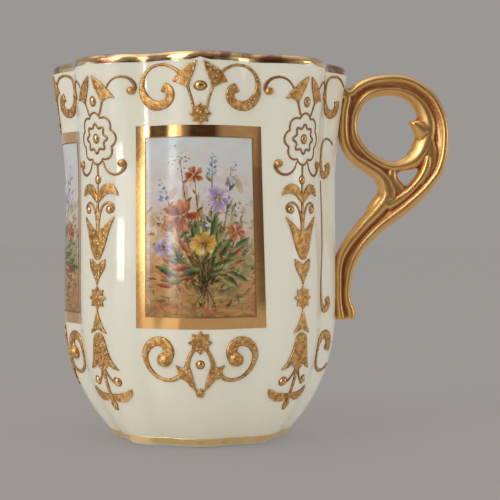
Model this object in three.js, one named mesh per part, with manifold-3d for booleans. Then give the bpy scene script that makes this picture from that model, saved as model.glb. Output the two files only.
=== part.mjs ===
// A fluted porcelain demitasse cup with a pierced scroll handle, painted panels and raised gilding.
// Millimetres, +Z up. The origin is the middle of the foot, on the table.
// The front panel faces -Y and the handle points along +X.
import * as THREE from 'three';
import { mergeVertices } from 'three/addons/utils/BufferGeometryUtils.js';
import { TessellateModifier } from 'three/addons/modifiers/TessellateModifier.js';
import Module from 'manifold-3d';

const wasm = await Module();
wasm.setup();

// Body, measured over the crests of its lobes
const cupHeight = 62.1;
const rimRadius = 25;
const waistRadius = 22.8;
const bellyRadius = 22.95;
const footRadius = 13.9;
const bellyHeight = 25.4;
const flareLength = 18.7;
const bellyRoundness = 2.8;
const flareCurve = 1.5;

// Flutes: how far the creases lie in from the crests, as a share of the radius there
const lobeCount = 8;
const creaseRatio = 0.94;
const rimCreaseRatio = 0.905;
const creaseRounding = 2.2;

// Wall, floor and foot
const wall = 2;
const floorThickness = 3.2;
const floorBend = 5.8;
const footRingWidth = 2.2;
const footRecess = 1.1;

// Gilt and enamel lie as thin films on the glaze
const filmGap = 0.15;
const filmThickness = 0.2;
const pasteHeight = 0.35;
const rimBandHeight = 1.1;
const footLineHeight = 1.15;
const footLineRise = 0.5;

// Painted panels and their frames. The right bar leans in by frameLean over the frame's height, about
// a point that lies leanPivot of the way up.
const frameWidth = 20;
const frameHeight = 31.4;
const frameBar = 1.85;
const frameSideBar = 1.55;
const frameDrop = 11.1;
const frameLean = 0.9;
const leanPivot = 0.35;
const pictureMargin = 0.1;

// Raised ornament
const scrollGap = 0.3;
const columnTopDrop = 2.7;
const columnFoot = 5.9;

// Handle: its drop from the rim to its lower end, half the depth of its rolls and of the webs
// between them across the cup, and its gap to the wall
const handleDrop = 43;
const rollDepth = 2.2;
const webDepth = 1.5;
const spurDepth = 1.3;
const luteGap = 0.3;

// Facets, and the smallest step that joined solids keep
const lobeSteps = 8;
const ringSteps = lobeCount * lobeSteps;
const rollSides = 6;
const longestEdge = 3.2;
const smallestStep = 0.05;

const lobeAngle = (2 * Math.PI) / lobeCount;
const lipRadius = wall / 2;
const lipHeight = cupHeight - lipRadius * Math.sin(Math.PI / 3);
const flareHeight = cupHeight - flareLength;

const porcelain = new THREE.MeshStandardMaterial({ color: '#e6dfcc', roughness: 0.12, metalness: 0 });
const burnishedGold = new THREE.MeshStandardMaterial({ color: '#c2923c', roughness: 0.2, metalness: 1 });
const pasteGold = new THREE.MeshStandardMaterial({ color: '#ad7c36', roughness: 0.4, metalness: 1 });
const enamel = new THREE.MeshStandardMaterial({ color: '#a9a58f', roughness: 0.2, metalness: 0 });

// The fluted surface

function crestRadius(z) {
  if (z < bellyHeight) {
    const rise = Math.max(z, 0) / bellyHeight;
    return bellyRadius - (bellyRadius - footRadius) * (1 - rise) ** bellyRoundness;
  }
  if (z < flareHeight) {
    const rise = THREE.MathUtils.smoothstep(z, bellyHeight, flareHeight);
    return THREE.MathUtils.lerp(bellyRadius, waistRadius, rise);
  }
  return waistRadius + (rimRadius - waistRadius) * ((z - flareHeight) / flareLength) ** flareCurve;
}

function creaseRatioAt(z) {
  const flare = THREE.MathUtils.clamp((z - flareHeight) / flareLength, 0, 1);
  return THREE.MathUtils.lerp(creaseRatio, rimCreaseRatio, flare ** flareCurve);
}

// Each lobe is a circular arc that bulges past the crease ratio, and the creases are rounded.
function lobeShape(angle, ratio) {
  const half = lobeAngle / 2;
  const offCrest = Math.abs(angle - lobeAngle * Math.round(angle / lobeAngle));
  const round = creaseRounding / waistRadius;
  const soften = (turn) => Math.hypot(turn, round) - round;
  const turn = half - (soften(half - offCrest) * half) / soften(half);
  const centre = (1 - ratio ** 2) / (2 * (1 - ratio * Math.cos(half)));
  return centre * Math.cos(turn) + Math.sqrt((1 - centre) ** 2 - (centre * Math.sin(turn)) ** 2);
}

function surfaceRadius(angle, z) {
  return crestRadius(z) * lobeShape(angle, creaseRatioAt(z));
}

function polar(angle, radius, z) {
  return new THREE.Vector3(radius * Math.sin(angle), -radius * Math.cos(angle), z);
}

// A point lifted off the glaze along the surface's normal.
function surfacePoint(angle, z, lift) {
  const step = 0.01;
  const at = (a, h) => polar(a, surfaceRadius(a, h), h);
  const around = at(angle + step, z).sub(at(angle - step, z));
  const upward = at(angle, z + step).sub(at(angle, z - step));
  return at(angle, z).addScaledVector(around.cross(upward).normalize(), lift);
}

// The angle at which the surface lies a given distance to the side of a lobe's crest line.
function angleAside(aside, z) {
  let low = -lobeAngle;
  let high = lobeAngle;
  for (let i = 0; i < 40; i += 1) {
    const middle = (low + high) / 2;
    if (surfaceRadius(middle, z) * Math.sin(middle) < aside) low = middle;
    else high = middle;
  }
  return (low + high) / 2;
}

// Solids

// A skin through rings of points, capped by fans at both ends, or run back into its first ring.
function loft(rings, closed = false) {
  const count = rings[0].length;
  const points = rings.flat();
  const triangles = [];
  const spans = closed ? rings.length : rings.length - 1;
  for (let i = 0; i < spans; i += 1) {
    const next = (i + 1) % rings.length;
    for (let j = 0; j < count; j += 1) {
      const a = i * count + j;
      const b = i * count + ((j + 1) % count);
      const c = next * count + ((j + 1) % count);
      const d = next * count + j;
      triangles.push(a, b, c, a, c, d);
    }
  }
  if (!closed) {
    const first = points.length;
    const last = (rings.length - 1) * count;
    for (const ring of [rings[0], rings.at(-1)]) {
      const sum = ring.reduce((total, point) => total.add(point), new THREE.Vector3());
      points.push(sum.divideScalar(count));
    }
    for (let j = 0; j < count; j += 1) {
      const k = (j + 1) % count;
      triangles.push(first, k, j, first + 1, last + j, last + k);
    }
  }
  const geometry = new THREE.BufferGeometry().setFromPoints(points);
  geometry.setIndex(triangles);
  return geometry;
}

function solidOf(geometry) {
  const bare = geometry.clone();
  bare.deleteAttribute('normal');
  bare.deleteAttribute('uv');
  const merged = mergeVertices(bare, 1e-5);
  const vertProperties = new Float32Array(merged.attributes.position.array);
  const triVerts = new Uint32Array(merged.index.array);
  return new wasm.Manifold(new wasm.Mesh({ numProp: 3, vertProperties, triVerts }));
}

function geometryOf(solid) {
  const { vertProperties, triVerts } = solid.simplify(smallestStep).getMesh();
  const geometry = new THREE.BufferGeometry();
  geometry.setAttribute('position', new THREE.BufferAttribute(vertProperties, 3));
  geometry.setIndex(new THREE.BufferAttribute(triVerts, 1));
  return geometry;
}

const cup = new THREE.Group();

function addPiece(name, geometry, material, turn = 0) {
  geometry.computeVertexNormals();
  const mesh = new THREE.Mesh(geometry, material);
  mesh.name = name;
  mesh.rotation.z = turn;
  cup.add(mesh);
}

// Cup body

// A ring that follows the flutes at one height, set in from the outer face there.
function flutedRing(z, inset, height = z) {
  return Array.from({ length: ringSteps }, (_, i) => {
    const angle = (i * 2 * Math.PI) / ringSteps;
    return polar(angle, surfaceRadius(angle, z) - inset, height);
  });
}

function outerHeights() {
  const { lerp } = THREE.MathUtils;
  const belly = [0, 0.05, 0.17, 0.32, 0.52, 0.76].map((share) => lerp(0, bellyHeight, share));
  const sides = [bellyHeight, (bellyHeight + flareHeight) / 2];
  const flare = [0, 0.35, 0.7].map((share) => lerp(flareHeight, lipHeight, share));
  return [...belly, ...sides, ...flare];
}

// Rings over the rounded lip, from its outer side to its inner side.
function lipRings(lift) {
  return [0, 1, 2, 3].map((step) => {
    const turn = (step * Math.PI) / 3;
    const reach = lipRadius + lift;
    return flutedRing(lipHeight, lipRadius - reach * Math.cos(turn), lipHeight + reach * Math.sin(turn));
  });
}

// The inner face follows the outer one, raised towards the floor so that the base is thicker. It draws
// in over the height of the floor's bend.
function innerRing(z) {
  const raise = floorThickness * Math.max(0, 1 - z / bellyHeight);
  const bend = Math.max(0, 1 - (z - floorThickness) / floorBend);
  const share = (1 - bend ** 3) ** (1 / 3);
  return flutedRing(z - raise, wall, z).map((point) => point.multiply(new THREE.Vector3(share, share, 1)));
}

function bodyGeometry() {
  const bendTop = floorThickness + floorBend;
  const innerHeights = [
    ...[0.62, 0.28, 0.1, 0].map((share) => THREE.MathUtils.lerp(bendTop, lipHeight, share)),
    ...[0.55, 0.25, 0.07, 0.01].map((share) => THREE.MathUtils.lerp(floorThickness, bendTop, share)),
  ];
  return loft([
    flutedRing(0, footRingWidth, footRecess),
    flutedRing(0, footRingWidth, 0),
    ...outerHeights().map((z) => flutedRing(z, 0)),
    ...lipRings(0),
    ...innerHeights.map(innerRing),
  ]);
}

// Rim band and foot line, as films round the whole cup

function rimBandGeometry() {
  const bandFoot = cupHeight - rimBandHeight;
  const wrap = (lift) => [flutedRing(bandFoot, -lift), ...lipRings(lift)];
  return loft([...wrap(filmGap + filmThickness), ...wrap(filmGap).reverse()], true);
}

function footLineGeometry() {
  const low = footLineRise;
  const high = footLineRise + footLineHeight;
  const inner = filmGap * 2;
  const outer = inner + filmThickness;
  return loft([
    flutedRing(low, -outer),
    flutedRing(high, -outer),
    flutedRing(high, -inner),
    flutedRing(low, -inner),
  ], true);
}

// Painted panel and gilt frame, drawn flat as distances aside and heights, then laid on the glaze

const frameTop = cupHeight - frameDrop;
const frameFoot = frameTop - frameHeight;

// Points round an upright rectangle, anticlockwise from its lower left corner.
function rectanglePath(halfWidth, low, high) {
  const across = 10;
  const upward = 4;
  const { lerp } = THREE.MathUtils;
  const path = [];
  for (let i = 0; i < across; i += 1) path.push([lerp(-halfWidth, halfWidth, i / across), low]);
  for (let i = 0; i < upward; i += 1) path.push([halfWidth, lerp(low, high, i / upward)]);
  for (let i = 0; i < across; i += 1) path.push([lerp(halfWidth, -halfWidth, i / across), high]);
  for (let i = 0; i < upward; i += 1) path.push([-halfWidth, lerp(high, low, i / upward)]);
  return path;
}

// The path is laid on the glaze, and its right half drawn in as the bar there leans.
function laid(path, lift) {
  return path.map(([aside, z]) => {
    const lean = frameLean * (leanPivot - (z - frameFoot) / frameHeight);
    const stretch = aside > 0 ? 1 + lean / (frameWidth / 2) : 1;
    return surfacePoint(angleAside(aside * stretch, z), z, lift);
  });
}

function frameGeometry() {
  const outer = rectanglePath(frameWidth / 2, frameFoot, frameTop);
  const inner = rectanglePath(frameWidth / 2 - frameSideBar, frameFoot + frameBar, frameTop - frameBar);
  const top = filmGap + filmThickness;
  return loft([laid(outer, filmGap), laid(outer, top), laid(inner, top), laid(inner, filmGap)], true);
}

function pictureGeometry() {
  const halfWidth = frameWidth / 2 - frameSideBar - pictureMargin;
  const low = frameFoot + frameBar + pictureMargin;
  const high = frameTop - frameBar - pictureMargin;
  const { lerp } = THREE.MathUtils;
  const across = 10;
  const upward = 3;
  const slices = Array.from({ length: across + 1 }, (_, i) => {
    const aside = lerp(halfWidth, -halfWidth, i / across);
    const column = Array.from({ length: upward + 1 }, (_, j) => [aside, lerp(low, high, j / upward)]);
    return [...laid(column, filmGap + filmThickness), ...laid(column.reverse(), filmGap)];
  });
  return loft(slices);
}

// Raised ornament: flat outlines joined into one solid, then laid on the glaze

function flat(points) {
  return points.map(([x, y]) => new THREE.Vector2(x, y));
}

// A line whose width changes evenly along it, given at its start and its end.
function stroke(points, startWidth, endWidth) {
  const line = flat(points);
  const last = line.length - 1;
  const left = [];
  const right = [];
  line.forEach((point, i) => {
    const ahead = line[Math.min(i + 1, last)].clone().sub(line[Math.max(i - 1, 0)]).normalize();
    const half = THREE.MathUtils.lerp(startWidth, endWidth, i / last) / 2;
    left.push(new THREE.Vector2(point.x - ahead.y * half, point.y + ahead.x * half));
    right.push(new THREE.Vector2(point.x + ahead.y * half, point.y - ahead.x * half));
  });
  return new THREE.Shape([...right, ...left.reverse()]);
}

function blob(points) {
  return new THREE.Shape(flat(points));
}

// An outline from the points of its right half, from its top to its foot.
function mirrored(half) {
  return blob([...half, ...half.slice(1, -1).reverse().map(([x, y]) => [-x, y])]);
}

function disc(x, y, radius) {
  const sides = 5;
  return new THREE.Shape(Array.from({ length: sides }, (_, i) => {
    const turn = (i * 2 * Math.PI) / sides;
    return new THREE.Vector2(x + radius * Math.cos(turn), y + radius * Math.sin(turn));
  }));
}

function starPoints(y, tip, hollow, rays = 8) {
  return Array.from({ length: rays * 2 }, (_, i) => {
    const radius = i % 2 ? hollow : tip;
    const turn = (i * Math.PI) / rays;
    return new THREE.Vector2(radius * Math.sin(turn), y + radius * Math.cos(turn));
  }).reverse();
}

// A rosette's edge: round petals that meet in cusps, a little taller than wide.
function petalPoints(y, radius, dip, petals = 8, steps = 2) {
  const narrowing = 0.94;
  return Array.from({ length: petals * steps }, (_, i) => {
    const turn = (i * 2 * Math.PI) / (petals * steps);
    const bulge = Math.abs(Math.cos((petals * turn) / 2));
    const reach = radius - dip * (1 - bulge);
    return new THREE.Vector2(reach * narrowing * Math.sin(turn), y + reach * Math.cos(turn));
  }).reverse();
}

function withHole(outer, inner) {
  const shape = new THREE.Shape(outer);
  shape.holes.push(new THREE.Path(inner));
  return shape;
}

function bothSides(draw) {
  return [1, -1].flatMap((side) => draw((points) => points.map(([x, y]) => [x * side, y])));
}

// Shapes are scaled to the body, lifted to a height and laid on the glaze.
function ornamentGeometry(shapes, height, scale) {
  const settings = { depth: pasteHeight, bevelEnabled: false };
  const solids = shapes.map((shape) => solidOf(new THREE.ExtrudeGeometry(shape, settings)));
  const joined = geometryOf(solids.reduce((all, solid) => all.add(solid)));
  const fine = new TessellateModifier(longestEdge, 6).modify(joined.toNonIndexed());
  const position = fine.attributes.position;
  for (let i = 0; i < position.count; i += 1) {
    const z = height + position.getY(i) * scale;
    const angle = angleAside(position.getX(i) * scale, z);
    const point = surfacePoint(angle, z, filmGap + position.getZ(i));
    position.setXYZ(i, point.x, point.y, point.z);
  }
  fine.deleteAttribute('normal');
  return mergeVertices(fine, 1e-4);
}

// Scrolls above the panel, from the foot of their star
function upperScrolls() {
  return [
    new THREE.Shape(starPoints(1.4, 1.6, 1.2)),
    ...bothSides((side) => [
      blob(side([[0.6, 9.3], [1.9, 8.4], [3.1, 7.1], [3.7, 6.1], [2.1, 5.6], [1.7, 6.8], [1, 8.1]])),
      stroke(side([[2, 6.1], [1.4, 4.4], [0.9, 2.2]]), 0.5, 0.5),
      stroke(side([[3.2, 6.9], [4.7, 8.3], [6.4, 8.9], [8, 8.3], [8.9, 6.9], [9.1, 5.2]]), 0.5, 0.8),
      stroke(side([[9.1, 5.3], [8.5, 3.6], [6.9, 2.4], [5.2, 2.8], [4.5, 4.1], [5, 5.1]]), 0.8, 1.5),
      disc(...side([[5.5, 5.4]])[0], 0.9),
    ]),
  ];
}

// Scrolls below the panel, from the top of their star down
function lowerScrolls() {
  return [
    new THREE.Shape(starPoints(-1.8, 1.8, 1.35)),
    disc(0, -9.9, 0.8),
    ...bothSides((side) => [
      stroke(side([[1.2, -2.8], [2.1, -4.2], [2.3, -5.6], [1.8, -6.8]]), 0.6, 1.2),
      blob(side([[3.9, -5.4], [2.3, -5.6], [1.4, -7.2], [0.4, -9.4], [1.6, -8.4], [3.7, -7.1]])),
      stroke(side([[3.5, -6.8], [5.6, -7.9], [7.3, -7], [8.3, -5.3], [8.4, -3.4]]), 0.5, 0.8),
      stroke(side([[8.4, -3.5], [7.6, -2.2], [6.4, -1.8], [5.3, -2.4], [4.9, -3.6], [5.3, -4.5]]), 0.8, 1.4),
      disc(...side([[5.6, -4.6]])[0], 1.1),
    ]),
  ];
}

// Column ornament, from the tip of its lowest bud
function rosette(heart) {
  return [
    withHole(petalPoints(heart, 4.2, 0.6), petalPoints(heart, 3.7, 0.6).reverse()),
    stroke([[0, heart - 4], [0, heart - 6.3]], 0.5, 0.5),
    disc(0, heart - 6.5, 0.9),
    ...bothSides((side) => [
      blob(side([[0.4, 52.8], [1.6, 51.7], [3.7, 49.6], [2.2, 49], [1.4, 49.8], [0.7, 51.2]])),
      stroke(side([[2.1, 49.5], [1.6, 48.1], [1.1, 46.7]]), 0.5, 0.5),
    ]),
  ];
}

function rosetteStar(heart) {
  return [withHole(starPoints(heart, 2.4, 1.9), starPoints(heart, 1.75, 1.3).reverse())];
}

function tulip() {
  return [
    stroke([[0, 35.7], [0, 33], [0, 28.6]], 0.5, 1),
    ...bothSides((side) => [
      blob(side([[0, 33.6], [0.9, 35.4], [2.4, 36.2], [4, 34.7], [2.3, 34.9], [1.2, 34.4], [0.2, 32.8]])),
      stroke(side([[0.2, 30.2], [0.8, 31.8], [1.6, 32.9], [2.6, 32.5]]), 0.6, 0.6),
      disc(...side([[2.5, 32.2]])[0], 0.75),
      blob(side([
        [0, 29.3], [0.7, 28.9], [1.7, 29.7], [3.4, 30.9], [2.3, 28.6], [1.6, 26.3], [0.8, 24.8], [0, 24.4],
      ])),
    ]),
  ];
}

function huskDrop() {
  return [mirrored([[0, 23.6], [1.7, 24.2], [1.5, 22.9], [0.6, 21.6], [0, 20.3]])];
}

function columnStar() {
  return [new THREE.Shape(starPoints(18.2, 1.8, 1.2))];
}

function cone() {
  return [mirrored([[0, 16.1], [0.7, 14.4], [1.7, 12.6], [0, 13.1]])];
}

function bellSpray() {
  return [
    stroke([[0, 8.5], [0, 5], [0, 1.2]], 0.9, 0.5),
    disc(0, 0.9, 0.8),
    ...bothSides((side) => [
      blob(side([[0, 12.3], [1.1, 11.8], [1.7, 9.6], [3.3, 6.5], [1.7, 7.4], [0, 7.3]])),
      stroke(side([[0.3, 7.6], [0.9, 5.4], [1.7, 4.4]]), 0.5, 0.5),
      disc(...side([[2.2, 5]])[0], 0.9),
      blob(side([[0, 2.9], [1.5, 2.5], [2.9, 2.7], [4.3, 3.6], [3.8, 2], [2.5, 1.3], [0, 1.8]])),
    ]),
  ];
}

// Handle

// Points of each roll, drawn for a drop of 43 mm: distance out from the waist, distance below the rim
// and half thickness
const outerRoll = [
  [-1, 4.4, 0.9], [0.9, 4.5, 0.9], [2.3, 4.3, 0.9], [3.9, 3.1, 0.95], [5.7, 2.2, 0.95], [8.1, 1.7, 0.95],
  [10.3, 1.6, 0.95], [12.7, 2.05, 0.95], [14.8, 3.2, 0.95], [16.5, 4.7, 0.95], [17.7, 6.7, 0.9],
  [18.5, 9.1, 0.9], [18.7, 11.6, 0.9], [17.9, 16.4, 0.95], [16.7, 18.6, 1], [12.5, 22.9, 1.15],
  [6.8, 27.4, 1.05], [3.4, 31.7, 0.9], [2.1, 36.4, 0.8], [2.1, 39, 0.8], [2.7, 41.2, 1], [2.7, 42.3, 0.9],
];
const strapRoll = [
  [17.2, 10.4, 1], [16.3, 14, 1.9], [16.4, 16.1, 1.25], [15.6, 17.8, 0.95], [14.2, 19.4, 0.95], [12.4, 21, 1],
  [10.5, 22.2, 1.2], [8.8, 23.2, 1.2],
];
const ringRoll = [
  [8.9, 3.6, 0.85], [11.5, 3.9, 0.9], [13.7, 5.1, 1.1], [15.2, 7.2, 1.45], [15.7, 9.7, 1.85],
  [15.1, 12.5, 1.75], [13.5, 14.8, 1.4], [11.7, 15.9, 1], [9.6, 16.4, 0.9], [7.2, 15.5, 0.85],
  [5, 13.8, 0.8], [3.6, 11.6, 0.8], [3.2, 9.1, 0.75], [3.8, 6.7, 0.8], [5, 4.9, 0.8], [6.9, 3.9, 0.85],
];
const innerRoll = [
  [-0.6, 3.2, 0.9], [1.6, 3.7, 0.9], [1.6, 7.7, 0.9], [1.5, 10.3, 0.95], [2, 13.1, 1], [3.5, 15.1, 1.05],
  [5.6, 16.5, 1.15], [7.6, 17.9, 1.3], [8.9, 19.6, 1.5], [8.9, 21.6, 1.6], [7.8, 23.3, 1.5], [4.4, 27, 1.25],
  [1.5, 31, 1.05], [0.75, 33.3, 0.9], [0.65, 36.4, 0.8], [0.7, 39.5, 0.8], [1.1, 42.4, 0.9],
];
const bridge = [[9.8, 16.7, 1], [9.6, 18.4, 1.25], [10.9, 20.9, 1.7]];
const knuckle = [[8.2, 21.8, 1.2], [7, 23, 1.25], [6, 24.6, 1.1]];
const spur = [[15.4, 10.7, 2.1], [14, 9.6, 1.3], [12.5, 8.8, 0.25]];

// Webs that close the grooves between the rolls
const outerWeb = [
  [3.4, 4.7, 1], [7.2, 2.7, 0.7], [9.8, 2.5, 0.7], [14, 3.9, 0.7], [16.9, 7.2, 0.7], [17.9, 12, 0.8],
  [16.9, 16.6, 0.8], [15, 19.6, 0.8], [11.5, 22.7, 0.9], [8.1, 25.4, 0.8], [5.5, 27.6, 0.8], [2.6, 32, 0.9],
  [1.5, 36.6, 0.7], [1.8, 41.9, 0.9],
];
const innerWeb = [
  [4.6, 3.6, 0.9], [3.2, 5.5, 1.2], [2.4, 8.5, 0.7], [2.5, 10.6, 0.7], [4.7, 14.8, 0.8], [6.9, 16.4, 0.8],
  [9.1, 17.4, 0.9],
];

// An oval roll swept along points in the handle's plane, with a few rings between each two points.
function roll(points, depth, ringsBetween = 2, closed = false) {
  const scale = handleDrop / 43;
  const placed = points.map(([out, drop]) => (
    new THREE.Vector3(waistRadius + out * scale, 0, cupHeight - drop * scale)
  ));
  const path = new THREE.CatmullRomCurve3(placed, closed);
  const spans = closed ? points.length : points.length - 1;
  const steps = spans * ringsBetween;
  const across = new THREE.Vector3(0, 1, 0);
  const rings = [];
  for (let i = 0; i < steps + (closed ? 0 : 1); i += 1) {
    const along = (i / steps) * spans;
    const from = Math.floor(along) % points.length;
    const to = Math.min(Math.ceil(along), closed ? Infinity : points.length - 1) % points.length;
    const half = THREE.MathUtils.lerp(points[from][2], points[to][2], along % 1) * scale;
    const middle = path.getPoint(i / steps);
    const sideways = across.clone().cross(path.getTangent(i / steps));
    rings.push(Array.from({ length: rollSides }, (_, j) => {
      const turn = (j * 2 * Math.PI) / rollSides;
      const point = middle.clone().addScaledVector(sideways, half * Math.cos(turn));
      return point.addScaledVector(across, depth * Math.sin(turn));
    }));
  }
  return loft(rings, closed);
}

// The rolls are joined and then cut back from the body, which leaves room for the luting slip.
function handleGeometry() {
  const rolls = [
    roll(outerRoll, rollDepth),
    roll(strapRoll, rollDepth),
    roll(ringRoll, rollDepth, 2, true),
    roll(innerRoll, rollDepth),
    roll(bridge, rollDepth),
    roll(knuckle, rollDepth),
    roll(outerWeb, webDepth, 1),
    roll(innerWeb, webDepth, 1),
    roll(spur, spurDepth),
  ];
  const joined = rolls.map(solidOf).reduce((all, solid) => all.add(solid));
  const heights = [...outerHeights(), cupHeight];
  const body = loft(heights.map((z) => flutedRing(z, -luteGap)));
  return geometryOf(joined.subtract(solidOf(body)));
}

// Assembly

addPiece('cup_body', bodyGeometry(), porcelain);
addPiece('handle', handleGeometry(), burnishedGold);
addPiece('gilt_rim_band', rimBandGeometry(), burnishedGold);
addPiece('gilt_foot_line', footLineGeometry(), burnishedGold);

// The scrolls are drawn for a frame 20 mm wide, and the columns for a height of 53.3 mm
const scrollScale = frameWidth / 20;
const columnScale = (cupHeight - columnTopDrop - columnFoot) / 53.3;

// Three panels, on every second lobe: the handle takes the fourth place
const panelPieces = {
  painted_panel: [pictureGeometry(), enamel],
  gilt_frame: [frameGeometry(), burnishedGold],
  upper_scrolls: [ornamentGeometry(upperScrolls(), frameTop + scrollGap, scrollScale), pasteGold],
  lower_scrolls: [ornamentGeometry(lowerScrolls(), frameFoot - scrollGap, scrollScale), pasteGold],
};
const panelPlaces = { front: 0, back: lobeCount / 2, left: -lobeCount / 4 };
for (const [place, lobe] of Object.entries(panelPlaces)) {
  for (const [name, [geometry, material]] of Object.entries(panelPieces)) {
    addPiece(`${name}_${place}`, geometry, material, lobe * lobeAngle);
  }
}

// Four columns of ornament, on the lobes between
const columnPieces = {
  rosette: rosette(43.3),
  rosette_star: rosetteStar(43.3),
  tulip: tulip(),
  husk_drop: huskDrop(),
  star: columnStar(),
  cone: cone(),
  bell_spray: bellSpray(),
};
const columnPlaces = { front_left: -1, front_right: 1, back_right: 3, back_left: -3 };
for (const [name, shapes] of Object.entries(columnPieces)) {
  const geometry = ornamentGeometry(shapes, columnFoot, columnScale);
  for (const [place, lobe] of Object.entries(columnPlaces)) {
    addPiece(`${name}_${place}`, geometry, pasteGold, lobe * lobeAngle);
  }
}

export default cup;
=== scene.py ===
"""A fluted porcelain coffee cup with painted panels, raised gilding and a gilt scroll handle."""
import math
import random

import bpy
import numpy as np
from mathutils import Matrix, Vector


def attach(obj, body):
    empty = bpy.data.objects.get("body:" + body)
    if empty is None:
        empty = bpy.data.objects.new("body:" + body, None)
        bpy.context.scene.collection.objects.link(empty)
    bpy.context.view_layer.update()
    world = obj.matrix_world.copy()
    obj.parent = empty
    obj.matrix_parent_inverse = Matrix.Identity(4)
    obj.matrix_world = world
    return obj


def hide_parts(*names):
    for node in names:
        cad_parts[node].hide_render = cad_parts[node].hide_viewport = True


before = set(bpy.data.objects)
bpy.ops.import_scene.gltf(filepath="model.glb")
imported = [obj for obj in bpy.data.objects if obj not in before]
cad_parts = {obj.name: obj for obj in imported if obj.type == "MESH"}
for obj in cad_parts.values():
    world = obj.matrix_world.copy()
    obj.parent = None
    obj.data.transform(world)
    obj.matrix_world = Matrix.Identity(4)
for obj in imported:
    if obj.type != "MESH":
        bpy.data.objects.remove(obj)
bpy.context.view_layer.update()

# Pieces are drawn in millimetres and brought to metres when they are finished
MM = 0.001

# Body, over the crests of its lobes
CUP_HEIGHT = 62.1
RIM_RADIUS = 25.0
WAIST_RADIUS = 22.8
BELLY_RADIUS = 22.95
FOOT_RADIUS = 13.9
BELLY_HEIGHT = 25.4
FLARE_LENGTH = 18.7
FLARE_HEIGHT = CUP_HEIGHT - FLARE_LENGTH
BELLY_ROUNDNESS = 2.8
FLARE_CURVE = 1.5

# Flutes
LOBES = 8
LOBE_ANGLE = 2 * math.pi / LOBES
CREASE_RATIO = 0.94
RIM_CREASE_RATIO = 0.905
CREASE_ROUNDING = 2.2

# Wall, lip, floor and foot
WALL = 2.0
LIP_RADIUS = WALL / 2
LIP_HEIGHT = CUP_HEIGHT - LIP_RADIUS * math.sin(math.pi / 3)
FLOOR_THICKNESS = 3.2
FLOOR_BEND = 9.0
FOOT_RING = 2.2
FOOT_RECESS = 1.1
FOOT_LINE_RISE = 0.5
FOOT_LINE_HEIGHT = 1.15

# Gilding: films keep their edges just under the glaze, and raised paste stands a third of a millimetre up
FILM = 0.05
EDGE_DEPTH = 0.07
RELIEF = 0.34
RELIEF_FOOT = -0.15
FLAT_SHARE = 0.8
EDGE_RISE = (0.05, 0.16)
# How much wider and how low the brown discs under the beads are, which paint a ring of shade round each
SHADE_RING_SPREAD = 1.3
SHADE_RING_RISE = 0.2
STAR_DEPTH = 1.5 * RELIEF
PASTE_VOXEL = 0.08
PASTE_SMOOTHING = 3

# Panels and ornament
FRAME_WIDTH = 20.0
FRAME_HEIGHT = 31.4
FRAME_DROP = 11.1
FRAME_TOP = CUP_HEIGHT - FRAME_DROP
FRAME_FOOT = FRAME_TOP - FRAME_HEIGHT
FRAME_BAR = 1.85
FRAME_SIDE_BAR = 1.55
EDGE_LINE = 0.16
EDGE_LINE_LIFT = 1.6 * FILM
FRAME_LEAN = 0.9
LEAN_PIVOT = 0.35
PANEL_OVERLAP = 0.1
PANEL_WIDTH = FRAME_WIDTH - 2 * FRAME_SIDE_BAR + PANEL_OVERLAP
PANEL_HEIGHT = FRAME_HEIGHT - 2 * FRAME_BAR + PANEL_OVERLAP
BRUSH_STEP = 0.06
SCROLL_GAP = 0.3
UPPER_SCROLL_FOOT = FRAME_TOP + SCROLL_GAP
LOWER_SCROLL_TOP = FRAME_FOOT - SCROLL_GAP
COLUMN_FOOT = 5.9
COLUMN_GAP = 2.7
COLUMN_DRAWN = 53.3
COLUMN_SCALE = (CUP_HEIGHT - COLUMN_GAP - COLUMN_FOOT) / COLUMN_DRAWN

PANELS = {"front": 0, "back": 4, "left": -2}
COLUMNS = {"front_left": -1, "front_right": 1, "back_right": 3, "back_left": -3}


# The fluted surface

NORMAL_STEP = 0.01
WIDEST_TURN = LOBE_ANGLE * 1.2
HALVINGS = 34


def crest_radius(z):
    rise = np.clip(z / BELLY_HEIGHT, 0, 1)
    belly = BELLY_RADIUS - (BELLY_RADIUS - FOOT_RADIUS) * (1 - rise) ** BELLY_ROUNDNESS
    share = np.clip((z - BELLY_HEIGHT) / (FLARE_HEIGHT - BELLY_HEIGHT), 0, 1)
    side = BELLY_RADIUS + (WAIST_RADIUS - BELLY_RADIUS) * share**2 * (3 - 2 * share)
    flare = np.clip((z - FLARE_HEIGHT) / FLARE_LENGTH, 0, None)
    rim = WAIST_RADIUS + (RIM_RADIUS - WAIST_RADIUS) * flare**FLARE_CURVE
    return np.where(z < BELLY_HEIGHT, belly, np.where(z < FLARE_HEIGHT, side, rim))


def off_crest(angle):
    """How far an angle lies from the nearest lobe's crest."""
    return np.abs(angle - LOBE_ANGLE * np.round(angle / LOBE_ANGLE))


def surface_radius(angle, z):
    """Each lobe is a circular arc, and the creases between the lobes are rounded."""
    flare = np.clip((z - FLARE_HEIGHT) / FLARE_LENGTH, 0, 1) ** FLARE_CURVE
    ratio = CREASE_RATIO + (RIM_CREASE_RATIO - CREASE_RATIO) * flare
    half = LOBE_ANGLE / 2
    rounding = CREASE_ROUNDING / WAIST_RADIUS
    soft = np.hypot(half - off_crest(angle), rounding) - rounding
    turn = half - soft * half / (math.hypot(half, rounding) - rounding)
    centre = (1 - ratio**2) / (2 * (1 - ratio * math.cos(half)))
    arc = np.sqrt((1 - centre) ** 2 - (centre * np.sin(turn)) ** 2)
    return crest_radius(z) * (centre * np.cos(turn) + arc)


def polar(angle, radius, z):
    """Angle 0 is the front, and a quarter turn further is the handle's side."""
    angle, radius, z = np.broadcast_arrays(angle, radius, z)
    return np.stack([radius * np.sin(angle), -radius * np.cos(angle), z], axis=-1)


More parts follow.
